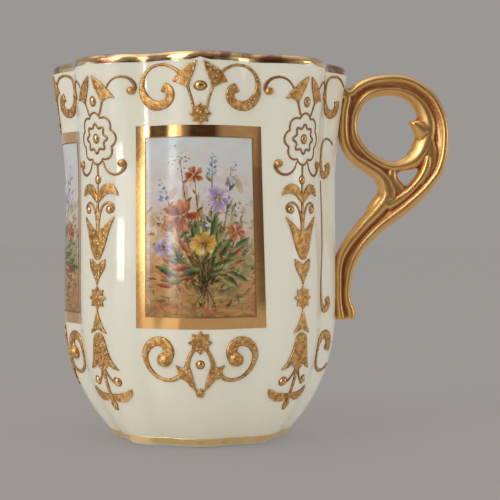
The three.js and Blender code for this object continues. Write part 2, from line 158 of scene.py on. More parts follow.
def surface_point(angle, z, lift):
    """Points lifted off the glaze along its normal."""
    def at(a, h):
        return polar(a, surface_radius(a, h), h)

    around = at(angle + NORMAL_STEP, z) - at(angle - NORMAL_STEP, z)
    upward = at(angle, z + NORMAL_STEP) - at(angle, z - NORMAL_STEP)
    normal = np.cross(around, upward)
    normal /= np.linalg.norm(normal, axis=-1, keepdims=True)
    return at(angle, z) + normal * np.asarray(lift)[..., None]


def angle_aside(aside, z):
    """The angle at which the glaze lies a given distance to the side of a lobe's crest line."""
    low = np.full_like(aside, -WIDEST_TURN)
    high = -low
    for _ in range(HALVINGS):
        middle = (low + high) / 2
        short = surface_radius(middle, z) * np.sin(middle) < aside
        low = np.where(short, middle, low)
        high = np.where(short, high, middle)
    return (low + high) / 2


# Modelling

SMOOTH_ANGLE = 50


def points_of(mesh):
    flat = np.empty(len(mesh.vertices) * 3)
    mesh.vertices.foreach_get("co", flat)
    return flat.reshape(-1, 3)


def set_points(mesh, points):
    mesh.vertices.foreach_set("co", np.ascontiguousarray(points).ravel())
    mesh.update()


def clear_selection():
    bpy.ops.object.select_all(action="DESELECT")


def pick(piece):
    clear_selection()
    piece.select_set(True)
    bpy.context.view_layer.objects.active = piece


def apply_modifier(piece, kind, **settings):
    pick(piece)
    modifier = piece.modifiers.new(kind.title(), kind)
    for name, value in settings.items():
        setattr(modifier, name, value)
    bpy.ops.object.modifier_apply(modifier=modifier.name)


def select_where(piece, test):
    """In edit mode, selects the faces whose middle and normal pass a test."""
    bpy.ops.mesh.select_mode(type="FACE")
    bpy.ops.mesh.select_all(action="DESELECT")
    bpy.ops.object.mode_set(mode="OBJECT")
    for face in piece.data.polygons:
        face.select = test(face.center, face.normal)
    bpy.ops.object.mode_set(mode="EDIT")


def joined(pieces):
    clear_selection()
    for piece in pieces:
        piece.select_set(True)
    bpy.context.view_layer.objects.active = pieces[0]
    if len(pieces) > 1:
        bpy.ops.object.join()
    return bpy.context.object


def ring_skin(rings, closed):
    """A circle extruded once for each further ring, whose rings are then drawn to shape."""
    columns = len(rings[0])
    clear_selection()
    bpy.ops.mesh.primitive_circle_add(vertices=columns, radius=1, location=(0, 0, 0))
    skin = bpy.context.object
    bpy.ops.object.mode_set(mode="EDIT")
    bpy.ops.mesh.select_all(action="SELECT")
    for _ in rings[1:]:
        bpy.ops.mesh.extrude_region_move(TRANSFORM_OT_translate={"value": (0, 0, 1)})
    bpy.ops.object.mode_set(mode="OBJECT")
    drawn = points_of(skin.data)
    row = np.round(drawn[:, 2]).astype(int)
    turn = np.arctan2(drawn[:, 0], -drawn[:, 1]) % (2 * math.pi)
    column = np.round(turn * columns / (2 * math.pi)).astype(int) % columns
    set_points(skin.data, np.array(rings)[row, column])
    bpy.ops.object.mode_set(mode="EDIT")
    bpy.ops.mesh.select_mode(type="EDGE")
    bpy.ops.mesh.select_all(action="DESELECT")
    bpy.ops.mesh.select_non_manifold()
    if closed:
        bpy.ops.mesh.bridge_edge_loops()
    else:
        bpy.ops.mesh.fill_holes(sides=0)
    bpy.ops.mesh.select_all(action="SELECT")
    bpy.ops.mesh.normals_make_consistent(inside=False)
    bpy.ops.object.mode_set(mode="OBJECT")
    return skin


def finish_piece(piece, name, material, replaced=()):
    """Brings a piece from millimetres to metres, dresses it and sets it in the frame."""
    piece.data.transform(Matrix.Scale(MM, 4))
    piece.name = piece.data.name = name
    piece.data.materials.clear()
    piece.data.materials.append(material)
    pick(piece)
    bpy.ops.object.shade_smooth_by_angle(angle=math.radians(SMOOTH_ANGLE))
    clear_selection()
    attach(piece, "root")
    if replaced:
        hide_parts(*replaced)
    return piece


def lay_on_glaze(piece, lobe, foot=0.0, scale=1.0):
    """Wraps a flat drawing round a lobe: x runs aside, y up from the foot, and z off the glaze."""
    drawn = points_of(piece.data)
    z = foot + drawn[:, 1] * scale
    angle = angle_aside(drawn[:, 0] * scale, z)
    laid = surface_point(angle, z, drawn[:, 2])
    turn = Matrix.Rotation(lobe * LOBE_ANGLE, 3, "Z")
    set_points(piece.data, laid @ np.array(turn).T)


def copy_of(piece):
    copied = piece.copy()
    copied.data = piece.data.copy()
    bpy.context.collection.objects.link(copied)
    return copied


# Materials

def srgb(code):
    return np.array([int(code[i:i + 2], 16) / 255 for i in (1, 3, 5)])


def linear(values):
    return np.where(values <= 0.04045, values / 12.92, ((values + 0.055) / 1.055) ** 2.4)


def colour(code):
    """A colour written as an sRGB hex value, in linear terms."""
    return [*linear(srgb(code)), 1.0]


def put(tree, node, inputs):
    """Links or fills a node's inputs."""
    for name, value in inputs.items():
        if isinstance(value, bpy.types.NodeSocket):
            tree.links.new(value, node.inputs[name])
        else:
            node.inputs[name].default_value = value


def add(tree, kind, inputs=None, **settings):
    """Adds a node with its settings and inputs."""
    made = tree.nodes.new(kind)
    for name, value in settings.items():
        setattr(made, name, value)
    put(tree, made, inputs or {})
    return made


def empty_tree(owner):
    """The node tree of a material or a world, cleared."""
    owner.use_nodes = True
    owner.node_tree.nodes.clear()
    return owner.node_tree


def new_material(name):
    material = bpy.data.materials.new(name)
    tree = empty_tree(material)
    shader = add(tree, "ShaderNodeBsdfPrincipled")
    add(tree, "ShaderNodeOutputMaterial", {"Surface": shader.outputs["BSDF"]})
    where = add(tree, "ShaderNodeTexCoord").outputs["Object"]
    return material, tree, shader, where


def per_metre(millimetres):
    """The scale that gives a pattern features of about this size."""
    return 1000 / millimetres


def noise(tree, where, size, detail):
    """Cloudy patches of about this size in millimetres."""
    made = add(tree, "ShaderNodeTexNoise", {"Vector": where, "Scale": per_metre(size), "Detail": detail})
    return made.outputs["Fac"]


def marked(tree, name):
    """The values that were set on the piece's points under this name."""
    return add(tree, "ShaderNodeAttribute", attribute_name=name)


def blend(tree, share, first, second):
    made = add(tree, "ShaderNodeMix", {"Factor": share, "A": first, "B": second}, data_type="RGBA")
    return made.outputs["Result"]


def stretch(tree, value, start=(0.0, 1.0), end=(0.0, 1.0)):
    """Brings a value from one range to another."""
    made = add(tree, "ShaderNodeMapRange", {
        "Value": value, "From Min": start[0], "From Max": start[1], "To Min": end[0], "To Max": end[1],
    })
    return made.outputs["Result"]


def bumped(tree, height, strength, depth):
    """A normal that follows a height pattern of this depth in millimetres."""
    made = add(tree, "ShaderNodeBump", {"Height": height, "Strength": strength, "Distance": depth * MM})
    return made.outputs["Normal"]


def glazed_porcelain():
    """Slip-cast porcelain under a clear glaze: cream, glossy, and faintly uneven where it pooled."""
    material, tree, shader, where = new_material("glazed_porcelain")
    cloud = noise(tree, where, 14, 3)
    ripple = noise(tree, where, 5, 1)
    put(tree, shader, {
        "Base Color": blend(tree, cloud, colour("#e5e1cd"), colour("#ebe7d6")),
        "Roughness": 0.05,
        "IOR": 1.52,
        "Normal": bumped(tree, ripple, 0.05, 0.4),
        "Subsurface Weight": 0.12,
        "Subsurface Radius": (1.0, 0.8, 0.6),
        "Subsurface Scale": 1.5 * MM,
    })
    return material


def burnished_gold():
    """Gold fired on and rubbed bright with agate: faint rub marks, and worn a little thin in places."""
    material, tree, shader, where = new_material("burnished_gold")
    rub = noise(tree, where, 1.2, 4)
    put(tree, shader, {
        "Base Color": blend(tree, rub, colour("#ecae64"), colour("#f6c67c")),
        "Metallic": 1.0,
        "Roughness": stretch(tree, rub, end=(0.07, 0.16)),
        "Normal": bumped(tree, rub, 0.12, 0.08),
        "Coat Weight": 1.0,
        "Coat Roughness": 0.08,
    })
    return material


def patchy_rim_gold():
    """Gold on the lip, browner in random patches."""
    material, tree, shader, where = new_material("patchy_rim_gold")
    patches = stretch(tree, noise(tree, where, 6, 5), start=(0.45, 0.57))
    put(tree, shader, {
        "Base Color": blend(tree, patches, colour("#f8d08c"), colour("#945c36")),
        "Metallic": 1.0,
        "Roughness": stretch(tree, patches, end=(0.1, 0.3)),
        "Coat Weight": 1.0,
        "Coat Roughness": 0.12,
    })
    return material


def handle_gold():
    """Gold on the modelled handle: rubbed soft and pale on the rolls, rougher with brown painted shade in
    the grooves.
    """
    material, tree, shader, where = new_material("handle_gold")
    rub = noise(tree, where, 2.5, 4)
    groove_shade = marked(tree, "groove_shade").outputs["Fac"]
    rubbed = blend(tree, rub, colour("#efae60"), colour("#fad288"))
    put(tree, shader, {
        # Painted shade: the gold turns dark brown where the points sink into grooves
        "Base Color": blend(tree, groove_shade, rubbed, colour("#a45f2c")),
        "Metallic": 1.0,
        "Roughness": stretch(tree, groove_shade, end=(0.36, 0.55)),
        "Normal": bumped(tree, rub, 0.2, 0.2),
        "Coat Weight": 0.8,
        "Coat Roughness": 0.15,
    })
    return material


def worn_foot_gold():
    """Gold rubbed thin on the foot, so that the pale body shows through it."""
    material, tree, shader, where = new_material("worn_foot_gold")
    wear = noise(tree, where, 1.5, 4)
    put(tree, shader, {
        "Base Color": blend(tree, wear, colour("#dcb268"), colour("#f8e0a8")),
        "Metallic": 0.55,
        "Roughness": 0.36,
    })
    return material


def raised_paste_gold():
    """Matt gold on modelled paste, tooled with fine dots that catch the light and are painted pale as
    glints, and brown at its edges.
    """
    material, tree, shader, where = new_material("raised_paste_gold")
    dots = add(tree, "ShaderNodeTexVoronoi", {"Vector": where, "Scale": per_metre(0.5)}).outputs["Distance"]
    tooled = stretch(tree, dots, start=(0.14, 0.32), end=(1.0, 0.0))
    patches = stretch(tree, noise(tree, where, 0.7, 4), start=(0.35, 0.65))
    face = blend(tree, patches, colour("#b47a38"), colour("#eabb76"))
    # Painted highlights: each tooled dot is coloured near white, as a glint
    painted_sparkle = blend(tree, tooled, face, colour("#ffe9bd"))
    put(tree, shader, {
        "Base Color": blend(tree, marked(tree, "rise").outputs["Fac"], colour("#7d5028"), painted_sparkle),
        "Metallic": 0.8,
        "Roughness": stretch(tree, tooled, end=(0.44, 0.3)),
        "Normal": bumped(tree, tooled, 0.7, 0.08),
    })
    return material


def fired_gold_line():
    """Thin lines of gold fired brown at their edges, duller than the paste; also the painted shade rings
    under the beads.
    """
    material, tree, shader, where = new_material("fired_gold_line")
    patch = noise(tree, where, 0.7, 2)
    put(tree, shader, {
        "Base Color": blend(tree, patch, colour("#82593a"), colour("#c09462")),
        "Metallic": 0.8,
        "Roughness": 0.42,
    })
    return material


def painted_enamel():
    """Enamel colours brushed on the glaze and fired to a soft gloss."""
    material, tree, shader, where = new_material("painted_enamel")
    brush = noise(tree, where, 0.5, 3)
    put(tree, shader, {
        "Base Color": marked(tree, "paint").outputs["Color"],
        "Roughness": 0.16,
        "Normal": bumped(tree, brush, 0.08, 0.05),
    })
    return material


porcelain = glazed_porcelain()
gold = burnished_gold()
paste = raised_paste_gold()
gold_line = fired_gold_line()
soft_gold = handle_gold()
thin_gold = worn_foot_gold()
rim_gold = patchy_rim_gold()
enamel = painted_enamel()

# Cup body

# How many points go round each ring, and how many rings make each stretch of the section
RING_COLUMNS = LOBES * 24
OUTSIDE_RINGS = 81
LIP_RINGS = 11
INSIDE_RINGS = 51
FLOOR_RINGS = 17

# The foot's section: how far in from the outer face, and how high
FOOT_SECTION = ((2.25, 0.95), (2.2, 0.5), (2.1, 0.12), (1.8, 0.0), (0.5, 0.0), (0.15, 0.05), (0.02, 0.18))
FOOT_TOP = 0.35
RECESS_SHARES = (0.03, 0.4, 0.75, 0.95)

# How softly the inner floor bends into the wall, and how near to its middle the rings go
FLOOR_ROUNDNESS = 3
MIDDLE_SHARE = 0.02

# The rim band's height outside, the small point in its lower edge, and its height inside
RIM_BAND = 1.3
RIM_POINT_RISE = 0.5
RIM_POINT_REACH = 1.3
RIM_BAND_INSIDE = 1.05

ring_angles = np.arange(RING_COLUMNS) * 2 * math.pi / RING_COLUMNS


def fluted_ring(z, inset, height, share=1.0):
    return polar(ring_angles, (surface_radius(ring_angles, z) - inset) * share, height)


def lip_rings(lift, turns):
    reach = LIP_RADIUS + lift
    return [
        fluted_ring(LIP_HEIGHT, LIP_RADIUS - reach * math.cos(t), LIP_HEIGHT + reach * math.sin(t))
        for t in turns
    ]


def inner_ring(height):
    """The inner face follows the outer one, raised towards a floor that bends in softly."""
    raised = FLOOR_THICKNESS * max(0.0, 1 - height / BELLY_HEIGHT)
    bend = max(0.0, (FLOOR_BEND - height) / (FLOOR_BEND - FLOOR_THICKNESS))
    share = max(MIDDLE_SHARE, (1 - min(bend, 1.0) ** FLOOR_ROUNDNESS) ** (1 / FLOOR_ROUNDNESS))
    return fluted_ring(height - raised, WALL, height, share)


def make_body():
    under = [fluted_ring(0, FOOT_RING, FOOT_RECESS, share) for share in RECESS_SHARES]
    foot = [fluted_ring(0, inset, height) for inset, height in FOOT_SECTION]
    outside = [fluted_ring(z, 0, z) for z in np.linspace(FOOT_TOP, LIP_HEIGHT, OUTSIDE_RINGS + 1)[:-1]]
    lip = lip_rings(0, np.linspace(0, math.pi, LIP_RINGS))
    inside = [inner_ring(h) for h in np.linspace(LIP_HEIGHT, FLOOR_BEND, INSIDE_RINGS + 1)[1:]]
    floor_turns = np.linspace(0, math.pi / 2, FLOOR_RINGS + 1)[1:]
    floor = [
        inner_ring(FLOOR_BEND - (FLOOR_BEND - FLOOR_THICKNESS) * math.sin(t) ** (2 / FLOOR_ROUNDNESS))
        for t in floor_turns
    ]
    return ring_skin(under + foot + outside + lip + inside + floor, closed=False)


finish_piece(make_body(), "fluted_body", porcelain, ["cup_body"])


# Rim band and foot line

def make_rim_band():
    """The band's lower edge steps up in a small point over each crest."""
    aside = off_crest(ring_angles) * RIM_RADIUS
    low = CUP_HEIGHT - RIM_BAND + RIM_POINT_RISE * np.clip(1 - aside / RIM_POINT_REACH, 0, 1)
    rows = [surface_point(ring_angles, low, np.full_like(low, -EDGE_DEPTH))]
    for share in (0.06, 0.3, 0.65):
        rows.append(surface_point(ring_angles, low + (LIP_HEIGHT - low) * share, np.full_like(low, FILM)))
    rows += lip_rings(FILM, np.linspace(0, math.pi, LIP_RINGS))
    for drop, lift in ((0.5, FILM), (1.0, FILM), (RIM_BAND_INSIDE, -EDGE_DEPTH)):
        rows.append(fluted_ring(LIP_HEIGHT - drop, WALL + lift, LIP_HEIGHT - drop))
    return ring_skin(rows, closed=True)


def make_foot_line():
    shares = ((0, -EDGE_DEPTH), (0.04, FILM), (0.5, FILM), (0.96, FILM), (1, -EDGE_DEPTH))
    rows = [
        surface_point(
            ring_angles,
            np.full_like(ring_angles, FOOT_LINE_RISE + FOOT_LINE_HEIGHT * share),
            np.full_like(ring_angles, lift),
        )
        for share, lift in shares
    ]
    return ring_skin(rows, closed=True)


finish_piece(make_rim_band(), "rim_gilding", rim_gold, ["gilt_rim_band"])
finish_piece(make_foot_line(), "foot_gilding", thin_gold, ["gilt_foot_line"])


# Panels

BORDER_CUTS = 30
PANEL_CELLS = (10, 17)
PANEL_CUTS = 17

# Brushwork: how soon a touch fades at its edge, and how many touches make each thing
EDGE_SOFTNESS = 2.4
STEM_STEP = 0.22
LEAF_STEPS = 9
PETAL_TOUCHES = 10
HEART_DOTS = 16
BELLS = 9
BELL_TOUCHES = 4


def leaned(drawn):
    """Draws in the right half of a panel towards its top, as the hand-laid bar there leans."""
    share = (drawn[:, 1] - FRAME_FOOT) / FRAME_HEIGHT
    lean = 1 + FRAME_LEAN * (LEAN_PIVOT - share) / (FRAME_WIDTH / 2)
    drawn[:, 0] *= np.where(drawn[:, 0] > 0, lean, 1)
    return drawn


def make_border(width, height, side_bar, bar, lift):
    """A flat gilt border, cut into short lengths so that it can follow the lobe."""
    clear_selection()
    bpy.ops.mesh.primitive_plane_add(size=1, location=(0, 0, 0))
    border = bpy.context.object
    bpy.ops.object.mode_set(mode="EDIT")
    bpy.ops.transform.resize(value=(width, height, 1))
    bpy.ops.mesh.inset(thickness=bar)
    widened = (width - 2 * side_bar) / (width - 2 * bar)
    bpy.ops.transform.resize(value=(widened, 1, 1))
    bpy.ops.mesh.delete(type="FACE")
    bpy.ops.mesh.select_all(action="SELECT")
    bpy.ops.mesh.subdivide(number_cuts=BORDER_CUTS)
    bpy.ops.object.mode_set(mode="OBJECT")
    apply_modifier(border, "SOLIDIFY", thickness=lift + EDGE_DEPTH, offset=0)
    drawn = points_of(border.data)
    drawn[:, 1] += (FRAME_TOP + FRAME_FOOT) / 2
    drawn[:, 2] = np.where(drawn[:, 2] > 0, lift, -EDGE_DEPTH)
    set_points(border.data, drawn)
    return border


def make_panel():
    """A thin slab whose face is fine enough to carry brushwork, point by point."""
    clear_selection()
    across, up = PANEL_CELLS
    bpy.ops.mesh.primitive_grid_add(x_subdivisions=across, y_subdivisions=up, size=1, location=(0, 0, 0))
    slab = bpy.context.object
    bpy.ops.object.mode_set(mode="EDIT")
    bpy.ops.transform.resize(value=(PANEL_WIDTH, PANEL_HEIGHT, 1))
    bpy.ops.mesh.extrude_region_move(TRANSFORM_OT_translate={"value": (0, 0, EDGE_DEPTH + FILM / 2)})
    select_where(slab, lambda middle, normal: middle.z > EDGE_DEPTH and abs(normal.z) > 0.9)
    bpy.ops.mesh.subdivide(number_cuts=PANEL_CUTS)
    bpy.ops.mesh.select_all(action="SELECT")
    bpy.ops.mesh.normals_make_consistent(inside=False)
    bpy.ops.object.mode_set(mode="OBJECT")
    drawn = points_of(slab.data)
    drawn[:, 1] += (FRAME_TOP + FRAME_FOOT) / 2
    drawn[:, 2] -= EDGE_DEPTH
    set_points(slab.data, drawn)
    return slab


def touch(canvas, x, y, length, width, lean, tint, cover):
    """One touch of a soft pointed brush: half length and width in mm, and its lean from upright."""
    reach = length + width
    columns = slice(max(0, int((x - reach) / BRUSH_STEP)), max(0, int((x + reach) / BRUSH_STEP) + 1))
    rows = slice(max(0, int((y - reach) / BRUSH_STEP)), max(0, int((y + reach) / BRUSH_STEP) + 1))
    patch = canvas[rows, columns]
    if not patch.size:
        return
    down, along = np.mgrid[:patch.shape[0], :patch.shape[1]]
    aside = (along + columns.start) * BRUSH_STEP - x
    upward = (down + rows.start) * BRUSH_STEP - y
    u = (aside * math.sin(lean) + upward * math.cos(lean)) / length
    v = (aside * math.cos(lean) - upward * math.sin(lean)) / width
    # Bristles leave fine streaks, which start at another place in each touch
    bristles = 0.82 + 0.18 * np.sin(v * 7 + x * 31 + y * 17)
    mask = np.clip((1 - u**2 - v**2) * EDGE_SOFTNESS, 0, 1) * cover * bristles
    patch += (tint - patch) * mask[..., None]


def mixed(chance, tints, spread=0.05):
    """A colour picked up from the palette, never quite the same twice."""
    picked = chance.choice(tints)
    shade = chance.gauss(0, spread)
    cast = np.array([chance.gauss(0, 0.02) for _ in range(3)])
    return np.clip(srgb(picked) + shade + cast, 0, 1)


def stem(canvas, chance, start, end, bend, width, tints):
    steps = int(math.dist(start, end) / STEM_STEP) + 2
    for i in range(steps):
        share = i / (steps - 1)
        swing = bend * math.sin(math.pi * share)
        x = start[0] + (end[0] - start[0]) * share + swing
        y = start[1] + (end[1] - start[1]) * share
        lean = math.atan2(end[0] - start[0] + bend * math.pi * math.cos(math.pi * share), end[1] - start[1])
        touch(canvas, x, y, 0.34, width * (1 - 0.5 * share), lean, mixed(chance, tints), 0.75)


def leaf(canvas, chance, x, y, length, lean, tints):
    """A pointed leaf, dark along one side, light along the other and between the two in the middle."""
    dark, middle, light = tints
    for i in range(LEAF_STEPS):
        share = (i + 0.5) / LEAF_STEPS
        along = length * share
        swell = length * 0.2 * math.sin(math.pi * share**0.8)
        px, py = x + along * math.sin(lean), y + along * math.cos(lean)
        for side, tint in ((-1, dark), (1, light), (0, middle)):
            aside = side * swell * 0.45
            touch(canvas, px + aside * math.cos(lean), py - aside * math.sin(lean), length * 0.16,
                  swell * 0.55 + 0.06, lean + side * 0.35, mixed(chance, [tint], 0.04), 0.7)


def blossom(canvas, chance, x, y, radius, tints, count):
    """Round petals laid from the heart outwards, darker at their foot, with a dotted heart."""
    dark, middle, light = tints
    start = chance.uniform(0, math.tau)
    for i in range(count):
        lean = start + i * math.tau / count + chance.gauss(0, 0.08)
        reach = radius * chance.uniform(0.85, 1.08)
        for _ in range(PETAL_TOUCHES):
            fan = chance.uniform(-0.42, 0.42)
            out = reach * chance.uniform(0.42, 0.68)
            tint = mixed(chance, [middle, middle, light], 0.05)
            touch(canvas, x + out * math.sin(lean + fan), y + out * math.cos(lean + fan) * 0.9,
                  reach * 0.3, reach * 0.15, lean + fan, tint, 0.75)
        for fan in (-0.3, 0.0, 0.3):
            touch(canvas, x + reach * 0.32 * math.sin(lean + fan), y + reach * 0.3 * math.cos(lean + fan),
                  reach * 0.24, reach * 0.05, lean + fan, mixed(chance, [dark], 0.03), 0.6)
        touch(canvas, x + reach * 0.8 * math.sin(lean), y + reach * 0.74 * math.cos(lean),
              reach * 0.1, reach * 0.2, lean, mixed(chance, [light], 0.04), 0.6)
    for _ in range(HEART_DOTS):
        turn, out = chance.uniform(0, math.tau), radius * chance.uniform(0, 0.2)
        touch(canvas, x + out * math.sin(turn), y + out * math.cos(turn), 0.14, 0.12, turn,
              mixed(chance, HEART, 0.05), 0.9)


def bell_stalk(canvas, chance, x, y, length, lean, tints):
    """Small bells hung in turn on both sides of a stalk."""
    for i in range(BELLS):
        share = i / (BELLS - 1)
        side = 1 if i % 2 else -1
        px = x + length * share * math.sin(lean) + side * 0.5 * (1.15 - share)
        py = y + length * share * math.cos(lean) - 0.2
        size = 0.62 * (1.15 - 0.7 * share)
        for _ in range(BELL_TOUCHES):
            near = (px + chance.gauss(0, size * 0.25), py + chance.gauss(0, size * 0.2))
            touch(canvas, *near, size * 0.6, size * 0.32, lean + side * 0.8,
                  mixed(chance, tints, 0.05), 0.8)


# Palettes, from dark to light
RUSSET = ("#6a2a1c", "#9c4c2c", "#c98a5a")
OCHRE = ("#8a5f26", "#c2943f", "#e2c884")
LILAC = ("#735f80", "#a08bab", "#d0c0d2")
BLUE = ("#56687f", "#8296ae", "#bccad6")
GREENS = ("#29331f", "#4d5a34", "#838a58")
OLIVES = ("#453f22", "#7b7138", "#aba166")
BROWNS = ("#3a241b", "#5a3a24", "#785636")

# Palettes for the flowers' hearts and for the ground behind the spray
HEART = ("#e2b64e", "#8a5420", "#5b3418")
SKY = ("#c3cfd6", "#cfc3cc", "#d8d0c0", "#cdb49c")
EARTH = ("#b98f5a", "#a87440", "#c8a873")
HAZE = ("#b9a7bd", "#a9b39a", "#c8b48e", "#b9c2cf")

# The ground's washes, and the share of the panel's height at which each is pure
WASHES = ("#9c663c", "#b58556", "#c4a98c", "#cdc2ba", "#c9d0cf")
WASH_HEIGHTS = (0, 0.16, 0.42, 0.7, 1)
EARTH_TOP = 10

# How many touches of the brush each layer has
CLOUD_TOUCHES = 130
HAZE_TOUCHES = 90
SOFT_LEAF_TOUCHES = 330
EARTH_TOUCHES = 160
LEAF_TOUCHES = 620
SHADE_TOUCHES = 70
EARTH_SPECKS = 46
SEED_SPECKS = 26

# The spray: places are aside from the panel's middle and up from its foot, in millimetres
PICTURE_SEED = 11
MIDDLE = PANEL_WIDTH / 2
KNOT = (MIDDLE + 0.9, 4.6)
STEM_SWING = 0.16
HEADS = (
    (-2.9, 15.6), (2.9, 18.4), (0.3, 11.6), (-5.4, 19.8), (5.6, 13.2), (-0.9, 22.2), (4.9, 22.9),
    (-5.7, 10.8), (-3.1, 24.2), (1.9, 24.6),
)
STEM_FEET = (-2.2, -1.1, 0.2, 1.4)
FULL_LEAVES = 46
BELL_STALKS = (
    (-5.4, 18.2, 3.2, -0.25, BLUE), (4.9, 20.8, 3.4, 0.2, LILAC), (1.9, 22.2, 3.2, 0.05, BLUE),
)
BLOSSOMS = (
    (-2.9, 15.6, 2.9, RUSSET, 5), (2.9, 18.4, 2.6, LILAC, 6), (0.5, 11.4, 2.3, OCHRE, 6),
    (5.5, 13.2, 1.7, RUSSET, 5), (-5.7, 10.8, 1.8, LILAC, 5), (-0.9, 22.0, 1.6, RUSSET, 5),
)
SEED_HEADS = ((-3.2, 24.2), (-6.4, 15.2), (6.3, 17.4), (0.9, 15.9), (3.3, 9.2), (-2.9, 9.8))


def clouded_ground(chance):
    """Washes from warm earth up to a pale sky, with soft clouds and a haze of colour behind the spray."""
    height, width = int(PANEL_HEIGHT / BRUSH_STEP) + 2, int(PANEL_WIDTH / BRUSH_STEP) + 2
    share = np.linspace(0, 1, height)
    washes = np.array([srgb(code) for code in WASHES])
    ground = np.stack([np.interp(share, WASH_HEIGHTS, washes[:, k]) for k in range(3)], axis=-1)
    canvas = np.repeat(ground[:, None, :], width, axis=1)
    for _ in range(CLOUD_TOUCHES):
        x, y = chance.uniform(0, PANEL_WIDTH), chance.uniform(0, PANEL_HEIGHT)
        tint = mixed(chance, SKY if y > EARTH_TOP else EARTH, 0.03)
        touch(canvas, x, y, chance.uniform(1.2, 2.6), chance.uniform(0.5, 1.1), chance.uniform(0.9, 2.2),
              tint, 0.3)
    for _ in range(HAZE_TOUCHES):
        turn, out = chance.uniform(0, math.tau), abs(chance.gauss(0, 4.2))
        x, y = MIDDLE + 0.9 * out * math.sin(turn), 14 + 1.35 * out * math.cos(turn)
        touch(canvas, x, y, chance.uniform(0.5, 1.3), chance.uniform(0.2, 0.45), turn,
              mixed(chance, HAZE, 0.04), 0.4)
    return canvas


def paint_undergrowth(canvas, chance):
    """Soft masses of leaf, green to the right and russet to the left, with darker touches over them."""
    for _ in range(SOFT_LEAF_TOUCHES):
        x, y = chance.gauss(MIDDLE + 0.2, 4.8), chance.gauss(8.8, 4.4)
        right = x + chance.gauss(0, 2.5) > MIDDLE
        palette = GREENS[1:] + OLIVES[1:] if right else RUSSET[1:] + OCHRE[1:]
        touch(canvas, x, y, chance.uniform(0.7, 1.7), chance.uniform(0.35, 0.7), chance.gauss(0, 0.9),
              mixed(chance, palette), 0.34)
    for _ in range(EARTH_TOUCHES):
        x, y = chance.uniform(0, PANEL_WIDTH), abs(chance.gauss(0, 2.4))
        touch(canvas, x, y, chance.uniform(0.6, 1.8), chance.uniform(0.15, 0.4), chance.gauss(1.5, 0.3),
              mixed(chance, RUSSET[1:] + OCHRE[:2] + BROWNS[2:] + OLIVES[1:]), 0.35)
    for _ in range(LEAF_TOUCHES):
        x, y = chance.gauss(MIDDLE + 0.3, 4.6), chance.gauss(8.6, 4.2)
        turn = math.atan2(x - MIDDLE, 3) + chance.gauss(0, 0.6)
        right = x + chance.gauss(0, 2.5) > MIDDLE
        palette = GREENS + OLIVES[:2] if right else RUSSET + OCHRE[:2] + BROWNS[1:]
        touch(canvas, x, y, chance.uniform(0.3, 0.9), chance.uniform(0.1, 0.26), turn,
              mixed(chance, palette), 0.6)
    for _ in range(SHADE_TOUCHES):
        x, y = chance.gauss(MIDDLE + 0.8, 1.3), chance.gauss(6.6, 1.4)
        touch(canvas, x, y, chance.uniform(0.3, 0.9), chance.uniform(0.12, 0.3), math.atan2(x - MIDDLE, 3),
              mixed(chance, GREENS[:1] + BROWNS[:2]), 0.55)


def paint_stems(canvas, chance):
    """Stems from the knot up to each head and down to the ground, and leaves on them and round them."""
    for dx, y in HEADS:
        swing = dx * STEM_SWING
        stem(canvas, chance, KNOT, (MIDDLE + dx, y), swing, 0.13, BROWNS + GREENS[:2])
        for share in (0.5, 0.66, 0.82):
            x = KNOT[0] + (MIDDLE + dx - KNOT[0]) * share + swing * math.sin(math.pi * share)
            lean = chance.choice((-1, 1)) * chance.uniform(0.5, 1.1)
            leaf(canvas, chance, x, KNOT[1] + (y - KNOT[1]) * share, chance.uniform(0.8, 1.5), lean,
                 chance.choice((GREENS, OLIVES, RUSSET)))
    for dx in STEM_FEET:
        stem(canvas, chance, KNOT, (KNOT[0] + dx, 1.2 + abs(dx) * 0.2), 0.15, 0.13, BROWNS + OLIVES[:1])
    for _ in range(FULL_LEAVES):
        turn = chance.uniform(-1.9, 1.9)
        out = chance.uniform(0.8, 8.2)
        palette = chance.choice((GREENS, GREENS, OLIVES, RUSSET))
        x, y = KNOT[0] + out * math.sin(turn) * 0.75, KNOT[1] + 2.2 + out * math.cos(turn) * 0.9
        leaf(canvas, chance, x, y, chance.uniform(1.7, 3.1), turn + chance.gauss(0, 0.5), palette)


def paint_specks(canvas, chance):
    """Fallen petals on the ground, and loose seed heads among the flowers."""
    for _ in range(EARTH_SPECKS):
        x, y = MIDDLE + chance.uniform(-7.8, 7.8), chance.gauss(2.8, 1.3)
        touch(canvas, x, y, chance.uniform(0.15, 0.55), chance.uniform(0.08, 0.2),
              chance.uniform(0, math.tau), mixed(chance, RUSSET + OLIVES + BROWNS, 0.05), 0.6)
    for dx, y in SEED_HEADS:
        for _ in range(SEED_SPECKS):
            x, up = chance.gauss(MIDDLE + dx, 0.75), chance.gauss(y, 0.85)
            touch(canvas, x, up, chance.uniform(0.1, 0.26), 0.12, chance.uniform(0, math.tau),
                  mixed(chance, RUSSET + OCHRE + BROWNS[:1] + GREENS[1:], 0.05), 0.8)


def posy(seed):
    """A spray of wild flowers on a pale clouded ground."""
    chance = random.Random(seed)
    canvas = clouded_ground(chance)
    paint_undergrowth(canvas, chance)
    paint_stems(canvas, chance)
    for dx, y, length, lean, tints in BELL_STALKS:
        bell_stalk(canvas, chance, MIDDLE + dx, y, length, lean, tints)
    for dx, y, radius, tints, count in BLOSSOMS:
        blossom(canvas, chance, MIDDLE + dx, y, radius, tints, count)
    paint_specks(canvas, chance)
    return canvas


